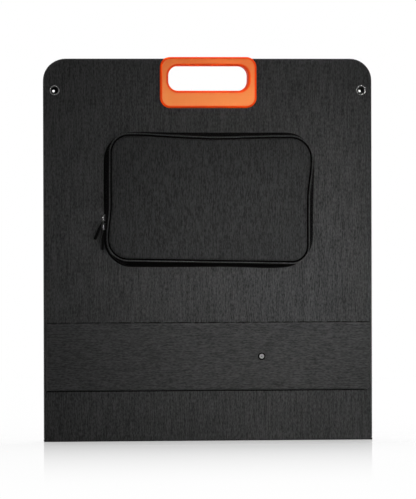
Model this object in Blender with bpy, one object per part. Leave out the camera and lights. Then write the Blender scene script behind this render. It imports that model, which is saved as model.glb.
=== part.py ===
"""Folding solar suitcase: two fabric-covered leaves with solar cells on their inner faces, joined by a spine.

The closed case stands on its spine. X runs across the case, -Y is the front with the pocket, +Z is up.
Each leaf is drawn in a leaf frame: X across, depth (as Y) from its outer face inwards, Z up from the floor.
The rear leaf is the same drawing turned half round, so its outer face looks to +Y.
"""

import math

import bmesh
import bpy
from mathutils import Matrix, Vector

# Overall sizes of a leaf, in metres
LEAF_WIDTH = 0.543
LEAF_HEIGHT = 0.630
TOP_CORNER_RADIUS = 0.036
CLEARANCE = 0.0003

# Layers of a leaf, from its outer face inwards
COVER_SKIN = 0.0012
COVER_EDGE_ROUND = 0.0010
BOARD_THICKNESS = 0.0040
BACKSHEET_THICKNESS = 0.0012
CELL_THICKNESS = 0.0004
FILM_THICKNESS = 0.0008
LINING_PROUD = 0.0002
LINING_BORDER = 0.0092

# Solar cells
CELL_GAP = 0.003
CELL_CHAMFER = 0.0085
CELL_ROWS = 4
CELL_COLUMNS = 4
TAB_WIDTH = 0.006
TAB_SPACING = 0.062
TAB_LENGTH = 0.0016
BUS_BAR_WIDTH = 0.002
MODULE_MARGIN = 0.006
MODULE_BOTTOM = 0.0135
MODULE_TO_HANDLE = 0.0148
MODULE_CORNER_RADIUS = 0.003

# Moulded handle at the top edge of each leaf
HANDLE_WIDTH = 0.160
HANDLE_HEIGHT = 0.0834
HANDLE_RISE = 0.0027
HANDLE_RADIUS = 0.019
HANDLE_FILLET = 0.0025
HANDLE_OUTER_PROUD = 0.0030
HANDLE_INNER_PROUD = 0.0026
HANDLE_INNER_FILLET = 0.0012
HANDLE_GAP = 0.0004
GRIP_WIDTH = 0.135
GRIP_HEIGHT = 0.042
GRIP_RADIUS = 0.018
GRIP_BAR = 0.0136
BARREL_WALL = 0.0037
BARREL_TOP_STEP = 0.0006
BARREL_RADIUS = 0.012
MAGNET_RADIUS = 0.0050
MAGNET_THICKNESS = 0.0014
MAGNET_SINK = 0.0001
MAGNET_OFFSET_X = 0.045
MAGNET_ABOVE_HANDLE_BOTTOM = 0.014

# Eyelets in the top corners
EYELET_FROM_SIDE = 0.0177
EYELET_FROM_TOP = 0.052
EYELET_BORE_RADIUS = 0.0040
EYELET_WALL = 0.0006
EYELET_FLANGE_RADIUS = 0.00825
EYELET_FLANGE_HEIGHT = 0.0015
EYELET_ROLL_RADIUS = 0.0062
EYELET_ROLL_HEIGHT = 0.0006
WASHER_THICKNESS = 0.0007

# Kickstand flap on the lower part of each leaf
STAND_TOP = 0.1926
STAND_BOTTOM = 0.0839
STAND_SIDE_GAP = 0.0025
STAND_FOOT_RADIUS = 0.0030
STAND_FREE_RADIUS = 0.0095
STAND_TOP_RADIUS = 0.0030
STAND_SKIN = 0.0012
STAND_BOARD_THICKNESS = 0.0026
STAND_LINING_THICKNESS = 0.0010
STAND_AXIS_DEPTH = 0.0020

# Snap fastener that holds the flap shut
SNAP_X = 0.090
SNAP_CAP_RADIUS = 0.0046
SNAP_CAP_HEIGHT = 0.0012
SNAP_DIMPLE_RADIUS = 0.0014
SNAP_DIMPLE_DEPTH = 0.0004
SNAP_POST_RADIUS = 0.0022
SNAP_RING_RADIUS = 0.0047
SNAP_STUD_RADIUS = 0.0020
SNAP_STUD_HEIGHT = 0.0024
SNAP_STUD_FLANGE_RADIUS = 0.0044
SNAP_STUD_FLANGE = 0.0005
SNAP_TAIL_RADIUS = 0.0015
SNAP_SOCKET_CLEARANCE = 0.0005

# Zipped pocket on the outer face of the front leaf
POCKET_WIDTH = 0.346
POCKET_HEIGHT = 0.221
POCKET_TO_HANDLE = 0.0413
POCKET_RADIUS = 0.030
POCKET_TAPER = 0.0052
POCKET_DEPTH = 0.0230
POCKET_WALL = 0.0014
POCKET_FLOOR = 0.0010
POCKET_ZIP_DEPTH = 0.0125
ZIP_TAPE_WIDTH = 0.0042
ZIP_TAPE_THICKNESS = 0.0010
ZIP_COIL_WIDTH = 0.0022
ZIP_COIL_PROUD = 0.0006
PIPING_RADIUS = 0.0014
PIPING_REBATE = 0.0030
LID_CROWN = 0.0016
LID_CROWN_SHARE = 0.8

# Zip sliders and pulls on the pocket's left side
SLIDER_ABOVE_POCKET_BOTTOM = 0.0813
SLIDER_SPACING = 0.0142
SLIDER_LENGTH = 0.0110
SLIDER_WIDTH = 0.0080
SLIDER_TAIL_WIDTH = 0.0056
SLIDER_PLATE = 0.0018
BAIL_WIDTH = 0.0022
BAIL_THICKNESS = 0.0009
BAIL_LENGTH = 0.0086
BAIL_SPACE = 0.0022
PULL_LENGTH = 0.0365
PULL_WIDTH = 0.0052
PULL_THICKNESS = 0.0014
PULL_END_BAR = 0.0013
PULL_WINDOW_SPARE = 0.0005
UPPER_PULL_TILT = math.radians(19)
LOWER_PULL_TILT = math.radians(4)

# Junction box inside the pocket
BOX_WIDTH = 0.092
BOX_HEIGHT = 0.064
BOX_X = 0.098
BOX_ABOVE_POCKET_BOTTOM = 0.115
BOX_RADIUS = 0.006
BOX_BASE_DEPTH = 0.0095
BOX_FLANGE = 0.004
BOX_FLANGE_DEPTH = 0.0025
BOX_LID_DEPTH = 0.0034
BOX_LID_ROUND = 0.0015
GLAND_RADIUS = 0.0060
GLAND_BORE_RADIUS = 0.0030
GLAND_LENGTH = 0.0170
GLAND_NUT_LENGTH = 0.0060
GLAND_X = 0.022

# Spine under the two leaves
SPINE_SKIN = 0.0012
SPINE_LIP = 0.0036
SPINE_CORNER_RADIUS = 0.0020
LINK_THICKNESS = 0.0008
LINK_WIDTH = 0.040
LINK_X = -0.130
SPINE_LINING_THICKNESS = 0.0008

# Faceting
ARC_STEPS = 6
MODULE_ARC_STEPS = 2
FILLET_STEPS = 3
EYELET_SEGMENTS = 16
SNAP_SEGMENTS = 14
PIPING_SIDES = 8

# Places worked out from the sizes above
BOARD_OUTER = COVER_SKIN + CLEARANCE
BOARD_INNER = BOARD_OUTER + BOARD_THICKNESS
BACKSHEET_OUTER = BOARD_INNER + CLEARANCE
BACKSHEET_INNER = BACKSHEET_OUTER + BACKSHEET_THICKNESS
CELL_OUTER = BACKSHEET_INNER + CLEARANCE
CELL_INNER = CELL_OUTER + CELL_THICKNESS
FILM_OUTER = CELL_INNER + CLEARANCE
FILM_INNER = FILM_OUTER + FILM_THICKNESS
LEAF_THICKNESS = FILM_INNER + LINING_PROUD
HALF_CASE = HANDLE_GAP / 2 + HANDLE_INNER_PROUD + LEAF_THICKNESS
CREASE_Z = SPINE_LIP + CLEARANCE / 2
LEAF_BOTTOM = SPINE_LIP + CLEARANCE
HANDLE_TOP = LEAF_HEIGHT + HANDLE_RISE
HANDLE_BOTTOM = HANDLE_TOP - HANDLE_HEIGHT
GRIP_TOP = HANDLE_TOP - GRIP_BAR
GRIP_BOTTOM = GRIP_TOP - GRIP_HEIGHT
NOTCH_HALF = GRIP_WIDTH / 2 + BARREL_WALL + CLEARANCE
NOTCH_BOTTOM = GRIP_BOTTOM - BARREL_WALL - CLEARANCE
EYELET_X = LEAF_WIDTH / 2 - EYELET_FROM_SIDE
EYELET_Z = LEAF_HEIGHT - EYELET_FROM_TOP
EYELET_HOLE_RADIUS = EYELET_BORE_RADIUS + EYELET_WALL + CLEARANCE
MODULE_WIDTH = LEAF_WIDTH - 2 * (COVER_SKIN + CLEARANCE + LINING_BORDER + CLEARANCE)
MODULE_HEIGHT = HANDLE_BOTTOM - MODULE_TO_HANDLE - MODULE_BOTTOM
MODULE_CENTRE_Z = MODULE_BOTTOM + MODULE_HEIGHT / 2
CELLS_WIDTH = MODULE_WIDTH - 2 * MODULE_MARGIN
CELLS_HEIGHT = MODULE_HEIGHT - 2 * MODULE_MARGIN
CELL_PITCH_X = (CELLS_WIDTH + CELL_GAP) / CELL_COLUMNS
CELL_PITCH_Z = (CELLS_HEIGHT + CELL_GAP) / CELL_ROWS
CELL_WIDTH = CELL_PITCH_X - CELL_GAP
CELL_HEIGHT = CELL_PITCH_Z - CELL_GAP
STAND_LINING_OUTER = -CLEARANCE - STAND_LINING_THICKNESS
STAND_BOARD_INNER = STAND_LINING_OUTER - CLEARANCE
STAND_BOARD_OUTER = STAND_BOARD_INNER - STAND_BOARD_THICKNESS
STAND_COVER_INNER = STAND_BOARD_OUTER - CLEARANCE
STAND_COVER_OUTER = STAND_COVER_INNER - STAND_SKIN
SNAP_Z = (STAND_TOP + STAND_BOTTOM) / 2
POCKET_BOTTOM = HANDLE_BOTTOM - POCKET_TO_HANDLE - POCKET_HEIGHT
POCKET_CENTRE_Z = POCKET_BOTTOM + POCKET_HEIGHT / 2
SLIDER_UPPER_Z = POCKET_BOTTOM + SLIDER_ABOVE_POCKET_BOTTOM
BOX_CENTRE_Z = POCKET_BOTTOM + BOX_ABOVE_POCKET_BOTTOM
SLIDER_LOWER_Z = SLIDER_UPPER_Z - SLIDER_SPACING

# Finishes: base colour, roughness, metallic value
FINISHES = {
    "cover_fabric": ((0.030, 0.030, 0.031), 0.90, 0.0),
    "stand_fabric": ((0.034, 0.034, 0.035), 0.90, 0.0),
    "lining_fabric": ((0.014, 0.014, 0.015), 0.92, 0.0),
    "core_board": ((0.55, 0.53, 0.48), 0.70, 0.0),
    "backsheet": ((0.012, 0.012, 0.013), 0.60, 0.0),
    "solar_cell": ((0.010, 0.013, 0.030), 0.25, 0.0),
    "clear_film": ((0.60, 0.62, 0.65), 0.30, 0.0),
    "handle_plastic": ((0.78, 0.16, 0.030), 0.45, 0.0),
    "magnet_nickel": ((0.62, 0.61, 0.58), 0.25, 1.0),
    "eyelet_nickel": ((0.60, 0.60, 0.60), 0.22, 1.0),
    "snap_nickel": ((0.45, 0.45, 0.45), 0.35, 1.0),
    "piping_fabric": ((0.020, 0.020, 0.021), 0.75, 0.0),
    "zip_tape": ((0.008, 0.008, 0.008), 0.80, 0.0),
    "slider_metal": ((0.30, 0.30, 0.31), 0.30, 1.0),
    "pull_rubber": ((0.010, 0.010, 0.010), 0.55, 0.0),
    "box_plastic": ((0.012, 0.012, 0.013), 0.50, 0.0),
    "link_copper": ((0.55, 0.27, 0.14), 0.40, 1.0),
}


def finish(name):
    """One Principled material for each finish, made the first time that it is asked for."""
    found = bpy.data.materials.get(name)
    if found:
        return found
    colour, roughness, metallic = FINISHES[name]
    material = bpy.data.materials.new(name)
    material.use_nodes = True
    shader = material.node_tree.nodes["Principled BSDF"]
    shader.inputs["Base Color"].default_value = (*colour, 1.0)
    shader.inputs["Roughness"].default_value = roughness
    shader.inputs["Metallic"].default_value = metallic
    return material


class Frame:
    """A body's frame: an empty on its joint's axis, and where that axis lies in the leaf frame."""

    def __init__(self, name, parent=None, home=(0, 0, 0), place=None, turn=(0, 0, 0)):
        self.home = Vector(home)
        self.empty = bpy.data.objects.new(name, None)
        bpy.context.scene.collection.objects.link(self.empty)
        self.empty.rotation_euler = turn
        self.empty.location = place if place is not None else self.home
        if parent:
            self.empty.parent = parent.empty
            self.empty.location = self.home - parent.home


def add_object(name, bm, frame, finish_name, smooth_angle=35):
    """Turns a bmesh drawn in the leaf frame into a named object on its body's frame."""
    bmesh.ops.recalc_face_normals(bm, faces=bm.faces)
    mesh = bpy.data.meshes.new(name)
    bm.to_mesh(mesh)
    bm.free()
    mesh.materials.append(finish(finish_name))
    mesh.shade_smooth()
    mesh.set_sharp_from_angle(angle=math.radians(smooth_angle))
    obj = bpy.data.objects.new(name, mesh)
    bpy.context.scene.collection.objects.link(obj)
    if frame:
        obj.parent = frame.empty
        obj.location = -frame.home
    return obj


def outline(corners, inset=0.0, steps=ARC_STEPS):
    """Anticlockwise points in X and Z of a right-angled outline whose corners are (x, z, radius), moved in by inset."""
    points = []
    for i, (x, z, radius) in enumerate(corners):
        here = Vector((x, z))
        arriving = (here - Vector(corners[i - 1][:2])).normalized()
        leaving = (Vector(corners[(i + 1) % len(corners)][:2]) - here).normalized()
        inwards = Vector((-arriving.y - leaving.y, arriving.x + leaving.x))
        corner = here + inset * inwards
        if not radius:
            points.append(corner)
            continue
        turn = round(arriving.x * leaving.y - arriving.y * leaving.x)
        reach = radius - turn * inset
        start = corner - reach * arriving
        centre = start + reach * leaving
        for k in range(steps + 1):
            swing = Matrix.Rotation(turn * math.pi / 2 * k / steps, 2)
            points.append(centre + swing @ (start - centre))
    return points


def rectangle(width, height, centre_z, radius, centre_x=0.0, foot_radius=None):
    """Corners of a rounded rectangle, from the bottom right round to the bottom left."""
    right, left = centre_x + width / 2, centre_x - width / 2
    bottom, top = centre_z - height / 2, centre_z + height / 2
    low = radius if foot_radius is None else foot_radius
    return [(right, bottom, low), (right, top, radius), (left, top, radius), (left, bottom, low)]


def circle(x, z, radius, segments):
    turns = [2 * math.pi * k / segments for k in range(segments)]
    return [Vector((x + radius * math.cos(a), z + radius * math.sin(a))) for a in turns]


def at_depth(points, depth):
    return [Vector((p.x, depth, p.y)) for p in points]


def band(bm, first, second):
    """Joins two rings of as many vertices with quads."""
    count = len(first)
    for i in range(count):
        j = (i + 1) % count
        bm.faces.new((first[i], first[j], second[j], second[i]))


def cap(bm, rings):
    """Closes an outer ring, leaving the other rings open as holes."""
    if len(rings) == 1:
        bm.faces.new(rings[0])
        return
    edges = [bm.edges.get((ring[i - 1], ring[i])) for ring in rings for i in range(len(ring))]
    bmesh.ops.triangle_fill(bm, use_beauty=True, edges=edges)


def loft(loops, holes=(), closed=False):
    """A solid skinned over loops of points. Holes are pairs of loops that run from the first loop's cap to the last's."""
    bm = bmesh.new()
    rings = [[bm.verts.new(p) for p in loop] for loop in loops]
    for first, second in zip(rings, rings[1:]):
        band(bm, first, second)
    if closed:
        band(bm, rings[-1], rings[0])
        return bm
    bores = [[[bm.verts.new(p) for p in loop] for loop in hole] for hole in holes]
    for start, end in bores:
        band(bm, start, end)
    cap(bm, [rings[0], *(bore[0] for bore in bores)])
    cap(bm, [rings[-1], *(bore[1] for bore in bores)])
    return bm


def turned(profile, x, z, segments, ring=False):
    """A solid turned about an axis along the depth. The profile is (radius, depth) pairs, closed for a ring."""
    bm = bmesh.new()
    points = [bm.verts.new((x + radius, depth, z)) for radius, depth in profile]
    ends = zip(points, points[1:] + points[:1]) if ring else zip(points, points[1:])
    edges = [bm.edges.new(pair) for pair in ends]
    bmesh.ops.spin(
        bm,
        geom=points + edges,
        cent=(x, 0, z),
        axis=(0, 1, 0),
        angle=2 * math.pi,
        steps=segments,
        use_merge=True,
    )
    bmesh.ops.remove_doubles(bm, verts=bm.verts, dist=1e-6)
    return bm


def boolean(obj, cutter, operation):
    """Applies a Boolean by a helper object that stays out of the model."""
    cutter.hide_render = True
    cutter.display_type = "WIRE"
    modifier = obj.modifiers.new(operation.lower(), "BOOLEAN")
    modifier.operation = operation
    modifier.object = cutter


def fillet(radius, steps=FILLET_STEPS):
    """(inset, drop) pairs of a rounded edge, from the side wall to the face."""
    turns = [math.pi / 2 * k / steps for k in range(steps + 1)]
    return [(radius * (1 - math.cos(a)), radius * (1 - math.sin(a))) for a in turns]


def leaf_corners(bottom=LEAF_BOTTOM):
    """A leaf's outline: square at the spine, rounded at the top, with a notch for the handle."""
    half = LEAF_WIDTH / 2
    return [
        (half, bottom, 0),
        (half, LEAF_HEIGHT, TOP_CORNER_RADIUS),
        (NOTCH_HALF, LEAF_HEIGHT, 0),
        (NOTCH_HALF, NOTCH_BOTTOM, BARREL_RADIUS),
        (-NOTCH_HALF, NOTCH_BOTTOM, BARREL_RADIUS),
        (-NOTCH_HALF, LEAF_HEIGHT, 0),
        (-half, LEAF_HEIGHT, TOP_CORNER_RADIUS),
        (-half, bottom, 0),
    ]


def eyelet_holes():
    return [circle(side * EYELET_X, EYELET_Z, EYELET_HOLE_RADIUS, EYELET_SEGMENTS) for side in (-1, 1)]


def snap_hole(radius):
    return circle(SNAP_X, SNAP_Z, radius, SNAP_SEGMENTS)


def make_cover(name, leaf):
    """Fabric cover: the outer panel with a rim that wraps the board's edges."""
    corners = leaf_corners()
    holes = [*eyelet_holes(), snap_hole(SNAP_TAIL_RADIUS + CLEARANCE)]
    loops = [
        at_depth(outline(corners, COVER_EDGE_ROUND), 0),
        at_depth(outline(corners), COVER_EDGE_ROUND),
        at_depth(outline(corners), LEAF_THICKNESS),
        at_depth(outline(corners, COVER_SKIN), LEAF_THICKNESS),
        at_depth(outline(corners, COVER_SKIN), COVER_SKIN),
    ]
    bores = [(at_depth(hole, 0), at_depth(hole, COVER_SKIN)) for hole in holes]
    add_object(name, loft(loops, bores), leaf, "cover_fabric")


def make_board(name, leaf):
    """Stiff board that the cover is glued round."""
    edge = outline(leaf_corners(), COVER_SKIN + CLEARANCE)
    holes = [(at_depth(hole, BOARD_OUTER), at_depth(hole, BOARD_INNER)) for hole in eyelet_holes()]
    bm = loft([at_depth(edge, BOARD_OUTER), at_depth(edge, BOARD_INNER)], holes)
    add_object(name, bm, leaf, "core_board")


def module_corners(spare=0.0):
    width, height = MODULE_WIDTH + 2 * spare, MODULE_HEIGHT + 2 * spare
    return rectangle(width, height, MODULE_CENTRE_Z, MODULE_CORNER_RADIUS + spare)


def make_lining(name, leaf):
    """Foam-backed border on the inner face, with a window for the solar module."""
    edge = outline(leaf_corners(), COVER_SKIN + CLEARANCE)
    window = outline(module_corners(CLEARANCE), steps=MODULE_ARC_STEPS)
    loops = [at_depth(edge, BACKSHEET_OUTER), at_depth(edge, LEAF_THICKNESS)]
    holes = [
        (at_depth(hole, BACKSHEET_OUTER), at_depth(hole, LEAF_THICKNESS))
        for hole in [window, *eyelet_holes()]
    ]
    add_object(name, loft(loops, holes), leaf, "lining_fabric")


def make_cells(name, leaf):
    """The string of cells: columns joined by tabs, with bus bars that link the columns in turn."""
    bm = bmesh.new()
    made = {}
    first_left = -CELLS_WIDTH / 2
    first_bottom = MODULE_CENTRE_Z - CELLS_HEIGHT / 2

    def corner(x, z):
        key = (round(x, 6), round(z, 6))
        if key not in made:
            made[key] = bm.verts.new((x, CELL_OUTER, z))
        return made[key]

    def face(points):
        bm.faces.new([corner(x, z) for x, z in points])

    def strips(stations, low, high):
        for left, right in zip(stations, stations[1:]):
            face([(left, low), (right, low), (right, high), (left, high)])

    def tab_edges(column):
        """X of each tab's two edges on a column of cells."""
        middle = first_left + column * CELL_PITCH_X + CELL_WIDTH / 2
        centres = (middle - TAB_SPACING / 2, middle + TAB_SPACING / 2)
        return [(x - TAB_WIDTH / 2, x + TAB_WIDTH / 2) for x in centres]

    def tabs(column, low, high):
        for edges in tab_edges(column):
            strips(edges, low, high)

    def cell(column, row):
        """A square with cut corners, split at the feet of its tabs."""
        left, bottom = first_left + column * CELL_PITCH_X, first_bottom + row * CELL_PITCH_Z
        right, top = left + CELL_WIDTH, bottom + CELL_HEIGHT
        cut = CELL_CHAMFER
        feet = [x for edges in tab_edges(column) for x in edges]
        strips([left + cut, *feet, right - cut], bottom, top)
        face([(left, bottom + cut), (left + cut, bottom), (left + cut, top), (left, top - cut)])
        face([(right - cut, bottom), (right, bottom + cut), (right, top - cut), (right - cut, top)])

    def bus_bar(column, cell_edge, outwards):
        """Joins the ends of this column and the next one."""
        foot = cell_edge + outwards * TAB_LENGTH
        far = foot + outwards * BUS_BAR_WIDTH
        stations = []
        for end in (column, column + 1):
            tabs(end, min(cell_edge, foot), max(cell_edge, foot))
            stations += [x for edges in tab_edges(end) for x in edges]
        strips(stations, min(foot, far), max(foot, far))

    for column in range(CELL_COLUMNS):
        for row in range(CELL_ROWS):
            cell(column, row)
            if row:
                bottom = first_bottom + row * CELL_PITCH_Z
                tabs(column, bottom - CELL_GAP, bottom)
    for column in range(CELL_COLUMNS - 1):
        at_top = column % 2 == 0
        bus_bar(column, first_bottom + CELLS_HEIGHT if at_top else first_bottom, 1 if at_top else -1)
    sheet = bmesh.ops.extrude_face_region(bm, geom=bm.faces[:])
    raised = [item for item in sheet["geom"] if isinstance(item, bmesh.types.BMVert)]
    bmesh.ops.translate(bm, verts=raised, vec=(0, CELL_THICKNESS, 0))
    add_object(name, bm, leaf, "solar_cell")


def make_module(side, leaf):
    """Backsheet, cell string and clear front film of one leaf."""
    edge = outline(module_corners(), steps=MODULE_ARC_STEPS)
    backsheet = loft([at_depth(edge, BACKSHEET_OUTER), at_depth(edge, BACKSHEET_INNER)])
    add_object(f"{side}_backsheet", backsheet, leaf, "backsheet")
    make_cells(f"{side}_cell_string", leaf)
    film = loft([at_depth(edge, FILM_OUTER), at_depth(edge, FILM_INNER)])
    add_object(f"{side}_clear_film", film, leaf, "clear_film")


def handle_rings():
    """Corner lists of the handle's flange, its barrel in the leaf's notch, and its grip opening."""
    middle = (HANDLE_TOP + HANDLE_BOTTOM) / 2
    flange = rectangle(HANDLE_WIDTH, HANDLE_HEIGHT, middle, HANDLE_RADIUS)
    barrel_top = HANDLE_TOP - BARREL_TOP_STEP
    barrel_bottom = GRIP_BOTTOM - BARREL_WALL
    barrel = rectangle(
        GRIP_WIDTH + 2 * BARREL_WALL, barrel_top - barrel_bottom, (barrel_top + barrel_bottom) / 2, BARREL_RADIUS
    )
    grip = rectangle(GRIP_WIDTH, GRIP_HEIGHT, (GRIP_TOP + GRIP_BOTTOM) / 2, GRIP_RADIUS)
    return flange, barrel, grip


def make_handle_outer(name, leaf):
    """Outer half: a flange on the cover, and a barrel that lines the notch."""
    flange, barrel, grip = handle_rings()
    loops = [
        at_depth(outline(barrel), LEAF_THICKNESS),
        at_depth(outline(barrel), -CLEARANCE),
        at_depth(outline(flange), -CLEARANCE),
    ]
    rounding = fillet(HANDLE_FILLET)
    loops += [at_depth(outline(flange, inset), drop - HANDLE_OUTER_PROUD) for inset, drop in rounding]
    loops += [at_depth(outline(grip, -inset), drop - HANDLE_OUTER_PROUD) for inset, drop in reversed(rounding)]
    loops.append(at_depth(outline(grip), LEAF_THICKNESS))
    add_object(name, loft(loops, closed=True), leaf, "handle_plastic")


def make_handle_inner(name, leaf):
    """Inner half: the clamping plate that meets the other leaf's handle, with two magnet seats."""
    flange, _, grip = handle_rings()
    face = LEAF_THICKNESS + HANDLE_INNER_PROUD
    loops = [at_depth(outline(flange), LEAF_THICKNESS + CLEARANCE)]
    rounding = fillet(HANDLE_INNER_FILLET, steps=2)
    loops += [at_depth(outline(flange, inset), face - drop) for inset, drop in rounding]
    loops += [at_depth(outline(grip, -inset), face - drop) for inset, drop in reversed(rounding)]
    loops.append(at_depth(outline(grip), LEAF_THICKNESS + CLEARANCE))
    plate_half = add_object(name, loft(loops, closed=True), leaf, "handle_plastic")
    seat_floor = face - MAGNET_SINK - MAGNET_THICKNESS - CLEARANCE
    for label, x in (("left", -MAGNET_OFFSET_X), ("right", MAGNET_OFFSET_X)):
        z = HANDLE_BOTTOM + MAGNET_ABOVE_HANDLE_BOTTOM
        seat = circle(x, z, MAGNET_RADIUS + CLEARANCE, SNAP_SEGMENTS)
        mouth = face + HANDLE_GAP
        cutter = loft([at_depth(seat, seat_floor), at_depth(seat, mouth)])
        boolean(plate_half, add_object(f"{name}_{label}_seat", cutter, leaf, "handle_plastic"), "DIFFERENCE")
        disc = circle(x, z, MAGNET_RADIUS, SNAP_SEGMENTS)
        magnet = loft([at_depth(disc, seat_floor + CLEARANCE), at_depth(disc, face - MAGNET_SINK)])
        add_object(name.replace("handle_inner", f"magnet_{label}"), magnet, leaf, "magnet_nickel")


def make_eyelets(side, leaf):
    """An eyelet and its washer, clinched through each top corner of the leaf."""
    bore, tube = EYELET_BORE_RADIUS, EYELET_BORE_RADIUS + EYELET_WALL
    crest = -CLEARANCE - EYELET_FLANGE_HEIGHT
    washer_top = LEAF_THICKNESS + CLEARANCE + WASHER_THICKNESS
    roll_base = washer_top + CLEARANCE
    roll_top = roll_base + EYELET_ROLL_HEIGHT
    eyelet = [
        (bore, crest + EYELET_WALL),
        (bore + EYELET_WALL, crest),
        ((tube + EYELET_FLANGE_RADIUS) / 2, crest),
        (EYELET_FLANGE_RADIUS, crest / 2),
        (EYELET_FLANGE_RADIUS, -CLEARANCE),
        (tube, -CLEARANCE),
        (tube, roll_base),
        (EYELET_ROLL_RADIUS, roll_base),
        (EYELET_ROLL_RADIUS, (roll_base + roll_top) / 2),
        (tube, roll_top),
        (bore, roll_top - EYELET_WALL / 2),
    ]
    washer = [
        (EYELET_HOLE_RADIUS, LEAF_THICKNESS + CLEARANCE),
        (EYELET_HOLE_RADIUS, washer_top),
        (EYELET_FLANGE_RADIUS - WASHER_THICKNESS, washer_top),
        (EYELET_FLANGE_RADIUS, LEAF_THICKNESS + CLEARANCE),
    ]
    for label, x in (("left", -EYELET_X), ("right", EYELET_X)):
        ring = turned(eyelet, x, EYELET_Z, EYELET_SEGMENTS, ring=True)
        add_object(f"{side}_eyelet_{label}", ring, leaf, "eyelet_nickel")
        ring = turned(washer, x, EYELET_Z, EYELET_SEGMENTS, ring=True)
        add_object(f"{side}_washer_{label}", ring, leaf, "eyelet_nickel")


def make_snap_stud(name, leaf):
    """Stud of the snap: a flange on the cover, a knob outside and a tail through the skin."""
    flange_top = -CLEARANCE - SNAP_STUD_FLANGE
    knob_top = flange_top - SNAP_STUD_HEIGHT
    waist = SNAP_STUD_RADIUS * 0.8
    profile = [
        (0, knob_top),
        (SNAP_STUD_RADIUS * 0.7, knob_top),
        (SNAP_STUD_RADIUS, knob_top + SNAP_STUD_HEIGHT * 0.3),
        (waist, knob_top + SNAP_STUD_HEIGHT * 0.6),
        (waist, flange_top),
        (SNAP_STUD_FLANGE_RADIUS, flange_top),
        (SNAP_STUD_FLANGE_RADIUS, -CLEARANCE),
        (SNAP_TAIL_RADIUS, -CLEARANCE),
        (SNAP_TAIL_RADIUS, COVER_SKIN),
        (0, COVER_SKIN),
    ]
    add_object(name, turned(profile, SNAP_X, SNAP_Z, SNAP_SEGMENTS), leaf, "snap_nickel")


def stand_corners():
    """The flap's outline: its left end is the square foot, and its free corner at the right is round."""
    right = LEAF_WIDTH / 2 - STAND_SIDE_GAP
    return [
        (right, STAND_BOTTOM, STAND_FREE_RADIUS),
        (right, STAND_TOP, STAND_TOP_RADIUS),
        (-right, STAND_TOP, STAND_TOP_RADIUS),
        (-right, STAND_BOTTOM, STAND_FOOT_RADIUS),
    ]


def make_stand(side, stand):
    """Kickstand flap: a fabric cover round a board, a lining behind it, and the snap's cap and socket."""
    corners = stand_corners()
    post_hole = snap_hole(SNAP_POST_RADIUS + CLEARANCE)
    ring_hole = snap_hole(SNAP_RING_RADIUS + CLEARANCE)
    loops = [
        at_depth(outline(corners, COVER_EDGE_ROUND), STAND_COVER_OUTER),
        at_depth(outline(corners), STAND_COVER_OUTER + COVER_EDGE_ROUND),
        at_depth(outline(corners), -CLEARANCE),
        at_depth(outline(corners, STAND_SKIN), -CLEARANCE),
        at_depth(outline(corners, STAND_SKIN), STAND_COVER_INNER),
    ]
    bore = (at_depth(post_hole, STAND_COVER_OUTER), at_depth(post_hole, STAND_COVER_INNER))
    add_object(f"{side}_stand_cover", loft(loops, [bore]), stand, "stand_fabric")
    edge = outline(corners, STAND_SKIN + CLEARANCE)
    layers = (
        ("stand_board", STAND_BOARD_OUTER, STAND_BOARD_INNER, "core_board"),
        ("stand_lining", STAND_LINING_OUTER, -CLEARANCE, "lining_fabric"),
    )
    for part, outer, inner, finish_name in layers:
        bore = (at_depth(ring_hole, outer), at_depth(ring_hole, inner))
        layer = loft([at_depth(edge, outer), at_depth(edge, inner)], [bore])
        add_object(f"{side}_{part}", layer, stand, finish_name)
    make_snap_cap(f"{side}_snap_cap", stand)


def make_snap_cap(name, stand):
    """Cap outside the flap, post through its cover, and the socket ring that grips the stud."""
    seat = STAND_COVER_OUTER - CLEARANCE
    crown = seat - SNAP_CAP_HEIGHT
    ring_outer = STAND_BOARD_OUTER + CLEARANCE
    ring_inner = -2 * CLEARANCE - SNAP_STUD_FLANGE
    socket = SNAP_STUD_RADIUS + SNAP_SOCKET_CLEARANCE
    socket_floor = -2 * CLEARANCE - SNAP_STUD_FLANGE - SNAP_STUD_HEIGHT
    profile = [
        (0, crown + SNAP_DIMPLE_DEPTH),
        (SNAP_DIMPLE_RADIUS * 0.6, crown + SNAP_DIMPLE_DEPTH),
        (SNAP_DIMPLE_RADIUS, crown),
        (SNAP_CAP_RADIUS * 0.7, crown + SNAP_CAP_HEIGHT * 0.1),
        (SNAP_CAP_RADIUS, seat - SNAP_CAP_HEIGHT * 0.4),
        (SNAP_CAP_RADIUS, seat),
        (SNAP_POST_RADIUS, seat),
        (SNAP_POST_RADIUS, ring_outer),
        (SNAP_RING_RADIUS, ring_outer),
        (SNAP_RING_RADIUS, ring_inner),
        (socket, ring_inner),
        (socket, socket_floor),
        (0, socket_floor),
    ]
    add_object(name, turned(profile, SNAP_X, SNAP_Z, SNAP_SEGMENTS), stand, "snap_nickel")


def pocket_ring(inset, out):
    """The pocket's outline at a distance out from the cover, where its sides have tapered in."""
    corners = rectangle(POCKET_WIDTH, POCKET_HEIGHT, POCKET_CENTRE_Z, POCKET_RADIUS)
    return at_depth(outline(corners, inset + POCKET_TAPER * out / POCKET_DEPTH), -out)


def zip_edge(inset, at_zip, at_hinge):
    """A pocket ring that steps from the zip's edge to the hinge along the bottom side."""
    return [*pocket_ring(inset, at_hinge)[:1], *pocket_ring(inset, at_zip)[1:-1], *pocket_ring(inset, at_hinge)[-1:]]


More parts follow.
